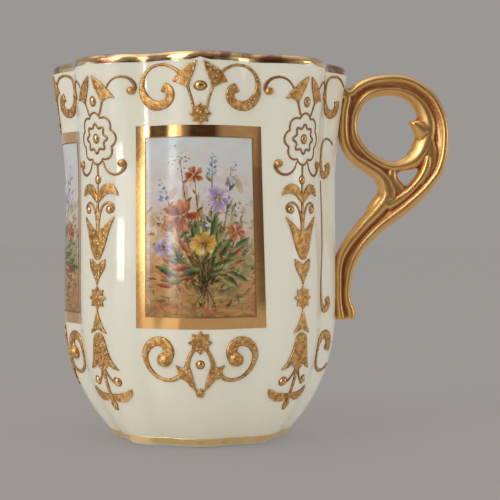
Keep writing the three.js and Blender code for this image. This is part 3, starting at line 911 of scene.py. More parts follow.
def paint_panel(panel, seed):
    """Sets the brushwork on the panel's points."""
    drawn = points_of(panel.data)
    canvas = linear(np.clip(posy(seed), 0, 1))
    column = np.clip(np.round((drawn[:, 0] + PANEL_WIDTH / 2) / BRUSH_STEP), 0, canvas.shape[1] - 1)
    foot = (FRAME_TOP + FRAME_FOOT - PANEL_HEIGHT) / 2
    row = np.clip(np.round((drawn[:, 1] - foot) / BRUSH_STEP), 0, canvas.shape[0] - 1)
    tints = np.ones((len(drawn), 4))
    tints[:, :3] = canvas[row.astype(int), column.astype(int)]
    layer = panel.data.color_attributes.new("paint", "FLOAT_COLOR", "POINT")
    layer.data.foreach_set("color", tints.ravel())


flat_frame = make_border(FRAME_WIDTH, FRAME_HEIGHT, FRAME_SIDE_BAR, FRAME_BAR, FILM)
flat_edge = make_border(
    PANEL_WIDTH + EDGE_LINE, PANEL_HEIGHT + EDGE_LINE, EDGE_LINE, EDGE_LINE, EDGE_LINE_LIFT
)
flat_panel = make_panel()
for place, lobe in PANELS.items():
    border, edge, picture = (copy_of(drawing) for drawing in (flat_frame, flat_edge, flat_panel))
    paint_panel(picture, seed=lobe + PICTURE_SEED)
    for piece in (border, edge, picture):
        set_points(piece.data, leaned(points_of(piece.data)))
        lay_on_glaze(piece, lobe)
    finish_piece(border, f"panel_border_{place}", gold, [f"gilt_frame_{place}"])
    finish_piece(edge, f"panel_edge_line_{place}", gold_line)
    finish_piece(picture, f"panel_picture_{place}", enamel, [f"painted_panel_{place}"])
for drawing in (flat_frame, flat_edge, flat_panel):
    bpy.data.objects.remove(drawing)


# Raised ornament, drawn flat as strokes of paste: points aside and up, then the width at each point

def both_sides(*strokes):
    return [
        ([(x * side, y) for x, y in points], widths)
        for points, widths in strokes
        for side in (1, -1)
    ]


def new_curve(**settings):
    """A curve with its settings, still without a line."""
    clear_selection()
    bpy.ops.curve.primitive_bezier_curve_add(location=(0, 0, 0))
    curve = bpy.context.object
    curve.data.splines.clear()
    for name, value in settings.items():
        setattr(curve.data, name, value)
    return curve


def add_line(curve, knots, closed):
    """A smooth line through knots: a place, a radius, and whether the line turns a corner there."""
    spline = curve.data.splines.new("BEZIER")
    spline.bezier_points.add(len(knots) - 1)
    spline.use_cyclic_u = closed
    for point, (place, radius, pointed) in zip(spline.bezier_points, knots):
        point.co = place
        point.radius = radius
        point.handle_left_type = point.handle_right_type = "VECTOR" if pointed else "AUTO"


def draw_strokes(strokes, closed=False):
    """Round lines of changing width, pressed flat so that broad leaves stand little higher than lines."""
    lines = new_curve(bevel_depth=1, bevel_resolution=3, resolution_u=8, use_fill_caps=True)
    for points, widths in strokes:
        if isinstance(widths, float):
            widths = [widths] * len(points)
        add_line(lines, [((x, y, 0), width / 2, False) for (x, y), width in zip(points, widths)], closed)
    bpy.ops.object.convert(target="MESH")
    return press_flat(bpy.context.object)


def draw_fills(outlines):
    """Flat leaves from closed outlines, where a third value marks a pointed corner."""
    leaves = new_curve(dimensions="2D", fill_mode="BOTH", extrude=RELIEF * FLAT_SHARE, resolution_u=6)
    for outline in outlines:
        add_line(leaves, [((x, y, 0), 1, bool(pointed)) for x, y, *pointed in outline], True)
    bpy.ops.object.convert(target="MESH")
    return bpy.context.object


def mirrored_outline(half):
    """An outline from the points of its right half, from its top to its foot."""
    return half + [(-x, *rest) for x, *rest in half[-2:0:-1]]


def outlines_on_both_sides(*outlines):
    return [[(x * side, *rest) for x, *rest in outline] for outline in outlines for side in (1, -1)]


def press_flat(piece):
    drawn = points_of(piece.data)
    drawn[:, 2] = np.sign(drawn[:, 2]) * RELIEF * (1 - np.exp(-np.abs(drawn[:, 2]) / RELIEF))
    set_points(piece.data, drawn)
    return piece


def draw_star(x, y, tip, hollow, rays=8):
    clear_selection()
    bpy.ops.mesh.primitive_cylinder_add(vertices=rays * 2, radius=1, depth=STAR_DEPTH, location=(0, 0, 0))
    star = bpy.context.object
    drawn = points_of(star.data)
    turn = np.arctan2(drawn[:, 0], drawn[:, 1])
    even = np.round(turn * rays / math.pi).astype(int) % 2 == 0
    drawn[:, :2] *= np.where(even, tip, hollow)[:, None]
    drawn[:, 0] += x
    drawn[:, 1] += y
    set_points(star.data, drawn)
    return star


def draw_blobs(blobs):
    """Round or oval drops of paste: place aside and up, and half width and height."""
    made = []
    for x, y, half_width, half_height in blobs:
        clear_selection()
        bpy.ops.mesh.primitive_uv_sphere_add(segments=20, ring_count=12, radius=1, location=(0, 0, 0))
        drop = bpy.context.object
        drawn = points_of(drop.data) * (half_width, half_height, min(half_width, half_height))
        set_points(drop.data, drawn + (x, y, 0))
        made.append(drop)
    return joined(made)


def mould(parts):
    """Runs strokes, stars and drops together like soft paste, and cuts the foot off flat."""
    piece = joined(parts)
    apply_modifier(piece, "REMESH", mode="VOXEL", voxel_size=PASTE_VOXEL)
    apply_modifier(piece, "SMOOTH", factor=0.5, iterations=PASTE_SMOOTHING)
    pick(piece)
    bpy.ops.object.mode_set(mode="EDIT")
    bpy.ops.mesh.select_all(action="SELECT")
    bpy.ops.mesh.bisect(
        plane_co=(0, 0, RELIEF_FOOT), plane_no=(0, 0, 1), clear_inner=True, use_fill=True
    )
    bpy.ops.object.mode_set(mode="OBJECT")
    layer = piece.data.attributes.new("rise", "FLOAT", "POINT")
    layer.data.foreach_set("value", np.interp(points_of(piece.data)[:, 2], EDGE_RISE, (0, 1)))
    return piece


def petals(y, radius, dip, count=8, narrowing=0.94):
    turns = np.arange(count * 8) * 2 * math.pi / (count * 8)
    reach = radius - dip * (1 - np.abs(np.cos(count * turns / 2)))
    return [(r * narrowing * math.sin(t), y + r * math.cos(t)) for r, t in zip(reach, turns)]


def star_outline(y, tip, hollow, rays=8):
    turns = [i * math.pi / rays for i in range(rays * 2)]
    return [
        ((hollow if i % 2 else tip) * math.sin(t), y + (hollow if i % 2 else tip) * math.cos(t))
        for i, t in enumerate(turns)
    ]


def mirrored_drops(*drops):
    return [(x * side, y, w, h) for x, y, w, h in drops for side in (1, -1)]


def upper_scrolls():
    return mould([
        draw_star(0, 1.4, 1.75, 1.25),
        draw_fills(outlines_on_both_sides([
            (0.5, 9.5, 1), (2.0, 8.7), (3.3, 7.7), (4.2, 6.3, 1), (3.2, 6.0), (1.8, 5.2, 1), (1.5, 6.4),
            (0.9, 7.9),
        ])),
        draw_strokes(both_sides(
            ([(1.95, 5.7), (1.6, 4.5), (1.25, 3.4), (1.05, 2.3)], 0.45),
            ([(3.0, 7.4), (4.1, 8.3), (5.2, 8.8), (6.4, 8.9), (7.5, 8.6), (8.4, 7.8), (8.9, 6.7),
              (9.05, 5.6)], [0.6, 0.5, 0.45, 0.45, 0.5, 0.6, 0.75, 0.9]),
            ([(9.05, 5.8), (8.85, 4.8), (8.2, 3.6), (7.2, 2.85), (6.1, 2.75), (5.1, 3.2), (4.6, 4.1),
              (4.9, 5.1), (5.7, 5.5)], [0.9, 1.2, 1.5, 1.6, 1.5, 1.4, 1.4, 1.5, 1.5]),
        )),
    ])


def lower_scrolls():
    return mould([
        draw_star(0, -1.75, 1.9, 1.35),
        draw_strokes([([(0.1, -9.0), (0, -9.8), (-0.1, -10.4)], [0.4, 1.5, 1.0])]),
        draw_fills(outlines_on_both_sides([
            (0.5, -9.6, 1), (0.9, -8.0), (1.3, -6.6), (1.7, -5.6), (2.6, -5.7), (3.8, -5.3, 1), (3.4, -6.4),
            (3.7, -7.4, 1), (2.6, -7.5), (1.6, -8.5),
        ])),
        draw_strokes(both_sides(
            ([(1.1, -3.0), (1.65, -4.0), (1.95, -5.0), (2.1, -5.9)], [0.6, 0.7, 0.8, 1.0]),
            ([(3.1, -7.0), (4.2, -7.65), (5.4, -7.75), (6.6, -7.3), (7.6, -6.4), (8.3, -5.2),
              (8.6, -4.0)], [0.8, 0.7, 0.6, 0.6, 0.7, 0.8, 0.95]),
            ([(8.6, -4.1), (8.4, -3.1), (7.8, -2.2), (6.8, -1.7), (5.8, -1.8), (5.1, -2.5),
              (4.9, -3.4), (5.2, -4.3)], [0.95, 1.2, 1.4, 1.5, 1.6, 1.7, 1.9, 1.9]),
        )),
        draw_blobs(mirrored_drops((5.5, -4.5, 1.15, 1.15))),
    ])


def rosette():
    return mould([
        draw_fills(outlines_on_both_sides([
            (0.35, 53.0, 1), (1.5, 52.3), (2.8, 51.1), (4.2, 49.3, 1), (3.0, 49.4), (1.9, 48.7, 1),
            (1.4, 49.9), (0.75, 51.2),
        ])),
        draw_blobs(mirrored_drops((6.5, 50.4, 0.6, 0.6), (4.5, 39.3, 0.65, 0.65))),
    ])


def rosette_lines():
    return mould([
        draw_strokes([(petals(43.2, 4.05, 0.6), 0.36)], closed=True),
        draw_strokes([([(0, 39.4), (0, 38.2), (0, 36.8)], 0.4)]),
        draw_strokes(both_sides(
            ([(2.1, 49.3), (1.7, 48.2), (1.2, 46.9)], 0.4),
            ([(2.7, 50.5), (3.6, 51.8), (4.7, 52.5), (5.9, 52.5), (6.8, 51.8), (7.0, 50.7), (6.5, 50.1)],
             [0.3, 0.32, 0.36, 0.45, 0.55, 0.6, 0.6]),
            ([(1.3, 39.6), (1.8, 38.4), (2.7, 37.7), (3.8, 37.6), (4.7, 38.2), (5.0, 39.2), (4.5, 39.8)],
             [0.32, 0.35, 0.4, 0.45, 0.55, 0.6, 0.6]),
        )),
    ])


def rosette_star():
    return mould([draw_strokes([(star_outline(43.2, 2.3, 1.75), 0.4)], closed=True)])


def tulip():
    return mould([
        draw_fills([mirrored_outline([
            (0, 28.6, 1), (0.7, 28.9), (1.7, 29.7), (3.4, 31.0, 1), (2.5, 29.0), (1.9, 27.2), (1.2, 25.4),
            (0, 24.2),
        ])]),
        draw_fills(outlines_on_both_sides([
            (0, 33.0, 1), (0.35, 34.6), (1.3, 35.9), (2.6, 36.1), (3.6, 35.3), (4.0, 34.2, 1), (3.0, 34.6),
            (1.9, 34.5), (0.8, 33.7),
        ])),
        draw_strokes([([(0, 36.2), (0, 33), (0, 30), (0, 27.5)], [0.4, 0.55, 0.8, 0.8])]),
        draw_strokes(both_sides(
            ([(0.2, 30), (0.6, 31.6), (1.4, 32.9), (2.5, 33.1), (3.2, 32.4), (2.9, 31.6)],
             [0.5, 0.45, 0.45, 0.45, 0.4, 0.35]),
        )),
    ])


def husk_drop():
    return mould([draw_fills([mirrored_outline([
        (0, 23.3, 1), (0.8, 23.9), (1.75, 24.4, 1), (1.6, 23.0), (0.9, 21.9), (0.3, 21.0), (0, 20.2, 1),
    ])])])


def column_star():
    return mould([draw_star(0, 18.2, 1.9, 1.25)])


def cone():
    return mould([draw_fills([mirrored_outline([
        (0, 16.4, 1), (0.4, 15.2), (0.9, 14.1), (1.8, 12.6, 1), (0.8, 13.0), (0, 13.3),
    ])])])


def bell_spray():
    return mould([
        draw_fills([mirrored_outline([
            (0, 12.7), (0.9, 12.3), (1.4, 11.0), (1.75, 9.5), (2.2, 8.3), (3.2, 6.8, 1), (2.1, 7.2),
            (1.35, 7.8, 1), (0.7, 7.1), (0, 6.8),
        ])]),
        draw_fills(outlines_on_both_sides([
            (0, 2.9, 1), (1.5, 2.95), (3.1, 3.3), (4.3, 3.9, 1), (4.2, 3.1), (3.4, 2.2), (2.0, 1.7),
            (0.8, 2.0),
        ])),
        draw_strokes([
            ([(0, 7.4), (0, 5), (0, 2.2)], [0.8, 0.65, 0.6]),
            ([(0, 2.3), (0, 1.2), (0, 0.2)], [0.6, 1.4, 0.7]),
        ]),
        draw_strokes(both_sides(
            ([(0.2, 7.4), (0.8, 5.9), (1.5, 5.0), (2.2, 4.6)], 0.42),
        )),
    ])


def handle_side_scrolls():
    """The scrolls on both sides of the handle, from the foot of the upper scrolls down."""
    return mould([
        draw_strokes(both_sides(
            ([(2.6, 7.6), (4.1, 8.3), (5.2, 8.8), (6.4, 8.9), (7.5, 8.6), (8.4, 7.8), (8.9, 6.7),
              (9.05, 5.6)], [0.45, 0.42, 0.42, 0.45, 0.5, 0.6, 0.75, 0.9]),
            ([(9.05, 5.8), (8.85, 4.8), (8.2, 3.6), (7.2, 2.85), (6.1, 2.75), (5.2, 3.3), (4.9, 4.2),
              (5.1, 5.0)], [0.9, 1.2, 1.5, 1.55, 1.5, 1.4, 1.4, 1.5]),
            ([(4.8, -2.3), (6.0, -1.5), (7.4, -1.5), (8.5, -2.4), (9.0, -3.8), (9.0, -5.2)],
             [0.4, 0.4, 0.45, 0.55, 0.7, 0.85]),
            ([(9.0, -5.1), (8.6, -6.4), (7.7, -7.3), (6.6, -7.2), (6.1, -6.3), (6.5, -5.5)],
             [0.85, 1.1, 1.3, 1.3, 1.3, 1.4]),
            ([(8.7, -8.3), (8.3, -11.9), (8.1, -16.9), (8.3, -20.9), (8.8, -23.7)], 0.35),
            ([(8.8, -23.7), (9.0, -25.9), (8.7, -27.9), (7.8, -29.3), (6.7, -29.3), (6.2, -28.4),
              (6.6, -27.6)], [0.4, 0.6, 0.9, 1.2, 1.3, 1.3, 1.4]),
            ([(2.8, -38.9), (4.2, -39.65), (5.4, -39.75), (6.6, -39.3), (7.6, -38.4), (8.3, -37.2),
              (8.6, -36.0)], [0.6, 0.6, 0.6, 0.6, 0.7, 0.8, 0.95]),
            ([(8.6, -36.1), (8.4, -35.1), (7.8, -34.2), (6.8, -33.7), (5.8, -33.8), (5.1, -34.5),
              (4.9, -35.4), (5.2, -36.3)], [0.95, 1.2, 1.4, 1.5, 1.6, 1.7, 1.9, 1.9]),
        )),
    ])


def domes(drops, spread=1.0, rise=0.75):
    """Smooth drops that stand on the glaze, wider or lower than drawn."""
    piece = draw_blobs([(x, y, w * spread, h * spread) for x, y, w, h in drops])
    drawn = points_of(piece.data)
    drawn[:, 2] *= rise
    set_points(piece.data, drawn)
    return piece


# Where drawings are laid: on which lobes, from what height, and how large
ABOVE_PANELS = (PANELS, UPPER_SCROLL_FOOT, 1)
BELOW_PANELS = (PANELS, LOWER_SCROLL_TOP, 1)
BY_HANDLE = ({"right": 2}, UPPER_SCROLL_FOOT, 1)
ON_COLUMNS = (COLUMNS, COLUMN_FOOT, COLUMN_SCALE)


def place_all(drawing, name, where, material, node=None):
    """Lays copies of a flat drawing on their lobes, and finishes each of them."""
    places, foot, scale = where
    for place, lobe in places.items():
        piece = copy_of(drawing)
        lay_on_glaze(piece, lobe, foot, scale)
        replaced = [f"{node}_{place}"] if node else []
        finish_piece(piece, f"{name}_{place}", material, replaced)
    bpy.data.objects.remove(drawing)


place_all(upper_scrolls(), "scrolls_above", ABOVE_PANELS, paste, "upper_scrolls")
place_all(lower_scrolls(), "scrolls_below", BELOW_PANELS, paste, "lower_scrolls")
column_drawings = {
    "rosette": rosette, "rosette_star": rosette_star, "tulip": tulip, "husk_drop": husk_drop,
    "star": column_star, "cone": cone, "bell_spray": bell_spray,
}
for node, draw in column_drawings.items():
    finish = gold_line if node == "rosette_star" else paste
    place_all(draw(), f"raised_{node}", ON_COLUMNS, finish, node)
place_all(rosette_lines(), "rosette_lines", ON_COLUMNS, gold_line)
place_all(handle_side_scrolls(), "scrolls_by_handle", BY_HANDLE, paste)

# Polished gold beads, each over a wider, low brown disc whose edge is a painted ring of shade
column_beads = [(0, 49.0, 0.6, 0.66), (0, 43.2, 0.62, 0.62), (0, 36.8, 0.56, 0.6)]
column_beads += mirrored_drops((2.4, 32.1, 0.52, 0.52), (2.3, 5.0, 0.6, 0.6))
bead_places = (
    ("bead_above", [(0, 5.6, 0.85, 0.6)], ABOVE_PANELS),
    ("bead_below", [(0, -5.2, 0.56, 0.56)], BELOW_PANELS),
    ("column_beads", column_beads, ON_COLUMNS),
)
for name, drops, where in bead_places:
    place_all(domes(drops), name, where, gold)
    place_all(domes(drops, SHADE_RING_SPREAD, SHADE_RING_RISE), f"{name}_seat", where, gold_line)


# Handle

# Points of each roll: distance out from the waist, distance below the rim, half thickness
OUTER_ROLL = [
    (-1, 4.4, 0.9), (0.9, 4.5, 0.9), (2.3, 4.3, 0.9), (3.9, 3.1, 0.95), (5.7, 2.2, 0.95), (8.1, 1.7, 0.95),
    (10.3, 1.6, 0.95), (12.7, 2.05, 0.95), (14.8, 3.2, 0.95), (16.5, 4.7, 0.95), (17.7, 6.7, 0.9),
    (18.48, 9.1, 0.9), (18.66, 11.6, 0.9), (17.9, 16.4, 0.95), (16.7, 18.6, 1), (12.5, 22.9, 1.15),
    (6.8, 27.4, 1.05), (3.4, 31.7, 0.9), (2.1, 36.4, 0.8), (2.1, 39, 0.8), (2.7, 41.2, 1), (2.7, 42.3, 0.9),
]
STRAP_ROLL = [
    (15.7, 14.2, 0.4), (15.7, 15.4, 0.9), (15.4, 16.8, 1.1), (14.7, 18.2, 1.05), (13.7, 19.5, 1),
    (12.2, 21, 1), (10.5, 22.2, 1.2), (8.8, 23.2, 1.2),
]
RING_ROLL = [
    (8.9, 3.6, 0.85), (11.5, 3.9, 0.9), (13.7, 5.1, 1.1), (15.2, 7.2, 1.45), (15.7, 9.7, 1.85),
    (15.1, 12.5, 1.75), (13.7, 15, 1.65), (11.8, 16.1, 1.15), (9.6, 16.4, 0.9), (7.2, 15.5, 0.85),
    (5, 13.8, 0.8), (3.6, 11.6, 0.8), (3.2, 9.1, 0.75), (3.8, 6.7, 0.8), (5, 4.9, 0.8), (6.9, 3.9, 0.85),
]
INNER_ROLL = [
    (-0.6, 3.2, 0.9), (1.6, 3.7, 0.9), (1.6, 7.7, 0.9), (1.5, 10.3, 0.95), (2, 13.1, 1), (3.5, 15.1, 1.05),
    (5.6, 16.5, 1.15), (7.6, 17.9, 1.3), (8.9, 19.6, 1.5), (8.9, 21.6, 1.6), (7.8, 23.3, 1.5),
    (4.4, 27, 1.25), (1.5, 31, 1.05), (0.75, 33.3, 0.9), (0.65, 36.4, 0.8), (0.7, 39.5, 0.8),
    (1.1, 42.4, 0.9),
]
BRIDGE = [(9.8, 16.7, 1), (9.6, 18.4, 1.25), (10.9, 20.9, 1.7)]
JUNCTION = [(8.3, 18.9, 1.3), (9.1, 20.6, 2), (9.3, 22, 1.6)]
STRAP_PAD = [(16.4, 11.6, 0.6), (16.3, 14, 1.9), (16.4, 16.4, 1.25), (14.8, 19.4, 1)]
KNUCKLE = [(8.6, 21, 0.6), (7.7, 22, 1.1), (7, 23, 1.2), (6.2, 24.3, 1.05), (5.3, 25.8, 0.6)]
SPUR = [(15.4, 10.7, 2.1), (14, 9.6, 1.3), (12.5, 8.8, 0.25)]
OUTER_WEB = [
    (3.4, 4.7, 1), (7.2, 2.7, 0.7), (9.8, 2.5, 0.7), (14, 3.9, 0.7), (16.9, 7.2, 0.7), (17.9, 12, 0.8),
    (16.9, 16.6, 0.8), (15, 19.6, 0.8), (11.5, 22.7, 0.9), (8.1, 25.4, 0.8), (5.5, 27.6, 0.8),
    (2.6, 32, 0.9), (1.5, 36.6, 0.7), (1.8, 41.9, 0.9),
]
INNER_WEB = [
    (4.6, 3.6, 0.9), (3.2, 5.5, 1.2), (2.4, 8.5, 0.7), (2.5, 10.6, 0.7), (4.7, 14.8, 0.8), (6.9, 16.4, 0.8),
    (9.1, 17.4, 0.9),
]

# How deep each kind of roll is across the cup. A roll thinner than FULL_ROLL is less deep
ROLL_SIDES = 16
FULL_ROLL = 0.75
ROLL_DEPTH = 1.9
PAD_DEPTH = 1.6
WEB_DEPTH = 1.4
SPUR_DEPTH = 1.8
HANDLE_VOXEL = 0.16
HANDLE_SMOOTHING = 6

# How far the handle's ends, luted to the body, reach into its wall
LUTE_DEPTH = 1.2

# Grooves are the points sunk below a form smoothed this many times, over this range; the gold there gets
# brown painted shade
GROOVE_SMOOTHING = 100
GROOVE_RANGE = (-0.03, 0.12)

# The ring's face slopes down to its hole: its middle, the reach over which it rises, and its depth there
RING_MIDDLE = (WAIST_RADIUS + 9.5, CUP_HEIGHT - 9.9)
SLOPE_REACH = (4.6, 7.2)
SLOPE_DEPTH = (0.55, 1.0)


def draw_rolls(rolls, depth, closed=False):
    """Rolls of clay in the handle's plane, pressed to one depth across the cup."""
    lines = new_curve(
        bevel_depth=1, bevel_resolution=ROLL_SIDES // 2 - 2, resolution_u=10, use_fill_caps=True
    )
    for roll in rolls:
        add_line(lines, [
            ((WAIST_RADIUS + out, 0, CUP_HEIGHT - drop), half, False) for out, drop, half in roll
        ], closed)
    bpy.ops.object.convert(target="MESH")
    piece = bpy.context.object
    rings = points_of(piece.data).reshape(-1, ROLL_SIDES, 3)
    across = rings[..., 1]
    half = np.abs(across).max(axis=1, keepdims=True)
    rings[..., 1] = depth * np.sqrt(np.minimum(1, half / FULL_ROLL)) * across / half
    set_points(piece.data, rings)
    return piece


def slope_to_hole(ring):
    drawn = points_of(ring.data)
    reach = np.hypot(drawn[:, 0] - RING_MIDDLE[0], drawn[:, 2] - RING_MIDDLE[1])
    drawn[:, 1] *= np.interp(reach, SLOPE_REACH, SLOPE_DEPTH)
    set_points(ring.data, drawn)
    return ring


def mark_grooves(piece):
    """Marks the points that lie below the smoothed form round them, where the gold gets painted shade."""
    smooth = copy_of(piece)
    apply_modifier(smooth, "SMOOTH", factor=0.5, iterations=GROOVE_SMOOTHING)
    normals = np.empty(len(piece.data.vertices) * 3, dtype=np.float32)
    piece.data.vertex_normals.foreach_get("vector", normals)
    sunk = ((points_of(smooth.data) - points_of(piece.data)) * normals.reshape(-1, 3)).sum(axis=1)
    layer = piece.data.attributes.new("groove_shade", "FLOAT", "POINT")
    layer.data.foreach_set("value", np.interp(sunk, GROOVE_RANGE, (0, 1)))
    bpy.data.objects.remove(smooth)


def make_handle():
    piece = joined([
        draw_rolls([OUTER_ROLL, STRAP_ROLL, INNER_ROLL, JUNCTION], ROLL_DEPTH),
        slope_to_hole(draw_rolls([RING_ROLL], ROLL_DEPTH, closed=True)),
        draw_rolls([BRIDGE, STRAP_PAD], PAD_DEPTH),
        draw_rolls([OUTER_WEB, INNER_WEB, KNUCKLE], WEB_DEPTH),
        draw_rolls([SPUR], SPUR_DEPTH),
    ])
    apply_modifier(piece, "REMESH", mode="VOXEL", voxel_size=HANDLE_VOXEL)
    apply_modifier(piece, "SMOOTH", factor=0.5, iterations=HANDLE_SMOOTHING)
    drawn = points_of(piece.data)
    drawn[:, 0] = np.maximum(drawn[:, 0], crest_radius(drawn[:, 2]) - LUTE_DEPTH)
    set_points(piece.data, drawn)
    mark_grooves(piece)
    return piece


finish_piece(make_handle(), "scroll_handle", soft_gold, ["handle"])


# Studio

CAMERA_DISTANCE = 238.0
CAMERA_SIDE = 0.1
CAMERA_HEIGHT = 34.9
PHOTO_SCALE = 0.1698
PHOTO_SIZE = 500
SENSOR = 36.0
AIM = (8.4, 0.0, 31.5)

BACKDROP = colour("#9b9794")
WHITE = colour("#ffffff")

# The room that the gold mirrors: the level at each angle round from the camera, negative to the left
ROOM = [
    (-180, 0.45), (-100, 0.45), (-80, 0.26), (-63, 0.08), (-57, 0.08), (-54, 2.5), (-34, 2.5), (-30, 0.5),
    (-20, 0.3), (-15, 0.05), (24, 0.05), (34, 0.14), (50, 0.2), (58, 0.62), (76, 0.62), (92, 0.34),
    (130, 0.45),
]
UPPER_ROOM = [
    (-180, 0.3), (-100, 0.3), (-68, 0.25), (-62, 3.0), (-34, 3.0), (-26, 0.25), (30, 0.15), (60, 0.35),
    (130, 0.3),
]
CEILING = [(-180, 0.7), (-130, 1.3), (-40, 1.3), (-15, 0.5), (40, 0.5), (90, 0.8), (150, 0.7)]
# Painted reflections: how brightly the floor glows to gold and glaze, by angle round from the camera, far
# and near
FAR_FLOOR = [
    (-180, 1.0), (-86, 1.0), (-72, 0.3), (-57, 0.2), (-54, 4.2), (-35, 4.2), (-31, 1.0), (-16, 0.12),
    (24, 0.12), (40, 1.0),
]
NEAR_FLOOR = [(-180, 1.3), (-58, 1.3), (-54, 2.6), (-36, 2.6), (-31, 1.3)]

# Where one part runs into the next: the sine of the angle up, and on the floor the place along y in metres
UPPER_START = (0.12, 0.3)
CEILING_START = (0.6, 0.92)
FAR_FLOOR_START = (-0.2, -0.3)

# Levels below this one turn brown
DARK_LEVEL = 0.3
DARK_TINT = (1.0, 0.68, 0.72)

# The even light that matt surfaces get, and how much of the floor is its own even grey where it is seen
ROOM_LIGHT = 0.73
FLOOR_OWN_SHARE = 0.6
FLOOR_SIZE = 6.0

# How far the soft boxes stand from the cup
LAMP_DISTANCE = 500


def peak_of(levels):
    return max(level for _, level in levels)


def reckon(tree, operation, first, second):
    return add(tree, "ShaderNodeMath", {0: first, 1: second}, operation=operation).outputs[0]


def ramp_round(tree, place, levels):
    """A level for each angle round the cup, as a share of the brightest in the list."""
    front = reckon(tree, "MULTIPLY", place.outputs["Y"], -1.0)
    turn = reckon(tree, "ARCTAN2", place.outputs["X"], front)
    ramp = add(tree, "ShaderNodeValToRGB", {"Fac": stretch(tree, turn, start=(-math.pi, math.pi))})
    stops = ramp.color_ramp.elements
    while len(stops) < len(levels):
        stops.new(0.5)
    for stop, (azimuth, level) in zip(stops, levels):
        stop.position = azimuth / 360 + 0.5
        brown = max(0.0, 1 - level / DARK_LEVEL)
        stop.color = [level / peak_of(levels) * (1 - (1 - tint) * brown) for tint in DARK_TINT] + [1.0]
    return ramp.outputs["Color"]


def tinted(tree, first, second, **settings):
    """One colour multiplied by another."""
    made = add(tree, "ShaderNodeMix", {"Factor": 1.0, "A": first, "B": second},
               data_type="RGBA", blend_type="MULTIPLY", **settings)
    return made.outputs["Result"]


def mix_shaders(tree, share, first, second):
    return add(tree, "ShaderNodeMixShader", {0: share, 1: first, 2: second}).outputs[0]


def studio_floor():
    """A pale sweep. What the camera sees of it is mostly its own even grey, so its shadows stay soft."""
    clear_selection()
    bpy.ops.mesh.primitive_plane_add(size=FLOOR_SIZE, location=(0, 0, 0))
    floor = bpy.context.object
    floor.name = "studio_floor"
    material = bpy.data.materials.new("studio_floor")
    tree = empty_tree(material)
    rays = add(tree, "ShaderNodeLightPath")
    seen = reckon(tree, "MAXIMUM", rays.outputs["Is Camera Ray"], rays.outputs["Is Glossy Ray"])
    own = reckon(tree, "MULTIPLY", seen, FLOOR_OWN_SHARE)
    spot = add(tree, "ShaderNodeTexCoord").outputs["Object"]
    place = add(tree, "ShaderNodeSeparateXYZ", {"Vector": spot})
    near, far = (
        add(tree, "ShaderNodeVectorMath", {
            0: ramp_round(tree, place, levels), "Scale": peak_of(levels),
        }, operation="SCALE").outputs["Vector"]
        for levels in (NEAR_FLOOR, FAR_FLOOR)
    )
    # Painted reflections: to glossy rays the floor glows brighter or darker by angle round the cup
    mirrored = blend(tree, stretch(tree, place.outputs["Y"], start=FAR_FLOOR_START), near, far)
    level = blend(tree, rays.outputs["Is Glossy Ray"], WHITE, mirrored)
    even = add(tree, "ShaderNodeEmission", {"Color": tinted(tree, BACKDROP, level)})
    tone = blend(tree, seen, colour("#efece8"), colour("#b0aba8"))
    lit = add(tree, "ShaderNodeBsdfDiffuse", {"Color": tinted(tree, tone, level, clamp_result=True)})
    surface = mix_shaders(tree, own, lit.outputs[0], even.outputs[0])
    add(tree, "ShaderNodeOutputMaterial", {"Surface": surface})
    floor.data.materials.append(material)


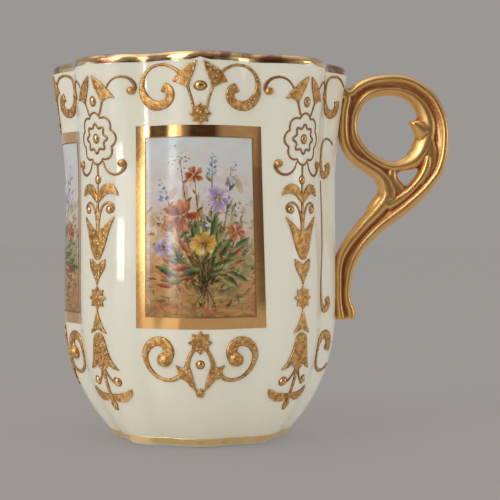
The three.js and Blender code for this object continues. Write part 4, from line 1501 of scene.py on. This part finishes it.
def studio_world():
    """Gold and glaze mirror the room, matt surfaces get an even light, and the camera sees plain grey."""
    world = bpy.data.worlds.new("studio")
    bpy.context.scene.world = world
    tree = empty_tree(world)
    rays = add(tree, "ShaderNodeLightPath")
    sight = add(tree, "ShaderNodeTexCoord").outputs["Generated"]
    place = add(tree, "ShaderNodeSeparateXYZ", {"Vector": sight})
    room, upper, above = (
        add(tree, "ShaderNodeBackground", {
            "Color": ramp_round(tree, place, levels), "Strength": peak_of(levels),
        }).outputs[0]
        for levels in (ROOM, UPPER_ROOM, CEILING)
    )
    for part, start in ((upper, UPPER_START), (above, CEILING_START)):
        room = mix_shaders(tree, stretch(tree, place.outputs["Z"], start=start), room, part)
    light = add(tree, "ShaderNodeBackground", {"Color": WHITE, "Strength": ROOM_LIGHT}).outputs[0]
    plain = add(tree, "ShaderNodeBackground", {"Color": BACKDROP, "Strength": 1.0}).outputs[0]
    shiny = reckon(tree, "MAXIMUM", rays.outputs["Is Glossy Ray"], rays.outputs["Is Transmission Ray"])
    lit = mix_shaders(tree, shiny, light, room)
    seen = mix_shaders(tree, rays.outputs["Is Camera Ray"], lit, plain)
    add(tree, "ShaderNodeOutputWorld", {"Surface": seen})


def soft_box(name, azimuth, elevation, width, height, power):
    """A soft box aimed at the middle of the cup, in millimetres and degrees."""
    a, e = math.radians(azimuth), math.radians(elevation)
    away = Vector((math.sin(a) * math.cos(e), -math.cos(a) * math.cos(e), math.sin(e)))
    middle = Vector((0, 0, CUP_HEIGHT / 2))
    bpy.ops.object.light_add(type="AREA", location=(middle + away * LAMP_DISTANCE) * MM)
    box = bpy.context.object
    box.name = name
    box.rotation_mode = "QUATERNION"
    box.rotation_quaternion = away.to_track_quat("Z", "Y")
    box.data.shape = "RECTANGLE"
    box.data.size = width * MM
    box.data.size_y = height * MM
    box.data.energy = power


def photo_camera():
    a = math.radians(CAMERA_SIDE)
    place = Vector((math.sin(a) * CAMERA_DISTANCE, -math.cos(a) * CAMERA_DISTANCE, CAMERA_HEIGHT))
    bpy.ops.object.camera_add(location=place * MM)
    camera = bpy.context.object
    camera.rotation_mode = "QUATERNION"
    camera.rotation_quaternion = (Vector(AIM) - place).to_track_quat("-Z", "Y")
    camera.data.sensor_width = SENSOR
    camera.data.lens = CAMERA_DISTANCE / PHOTO_SCALE / PHOTO_SIZE * SENSOR
    camera.data.clip_start = 0.01
    bpy.context.scene.camera = camera


studio_floor()
studio_world()
soft_box("key_strip", azimuth=-46, elevation=0.1, width=95, height=36, power=0.08)
soft_box("key_window", azimuth=-46, elevation=28, width=260, height=200, power=0.36)
soft_box("right_fill", azimuth=80, elevation=8, width=160, height=160, power=0.13)
photo_camera()
bpy.context.scene.view_settings.view_transform = "Standard"
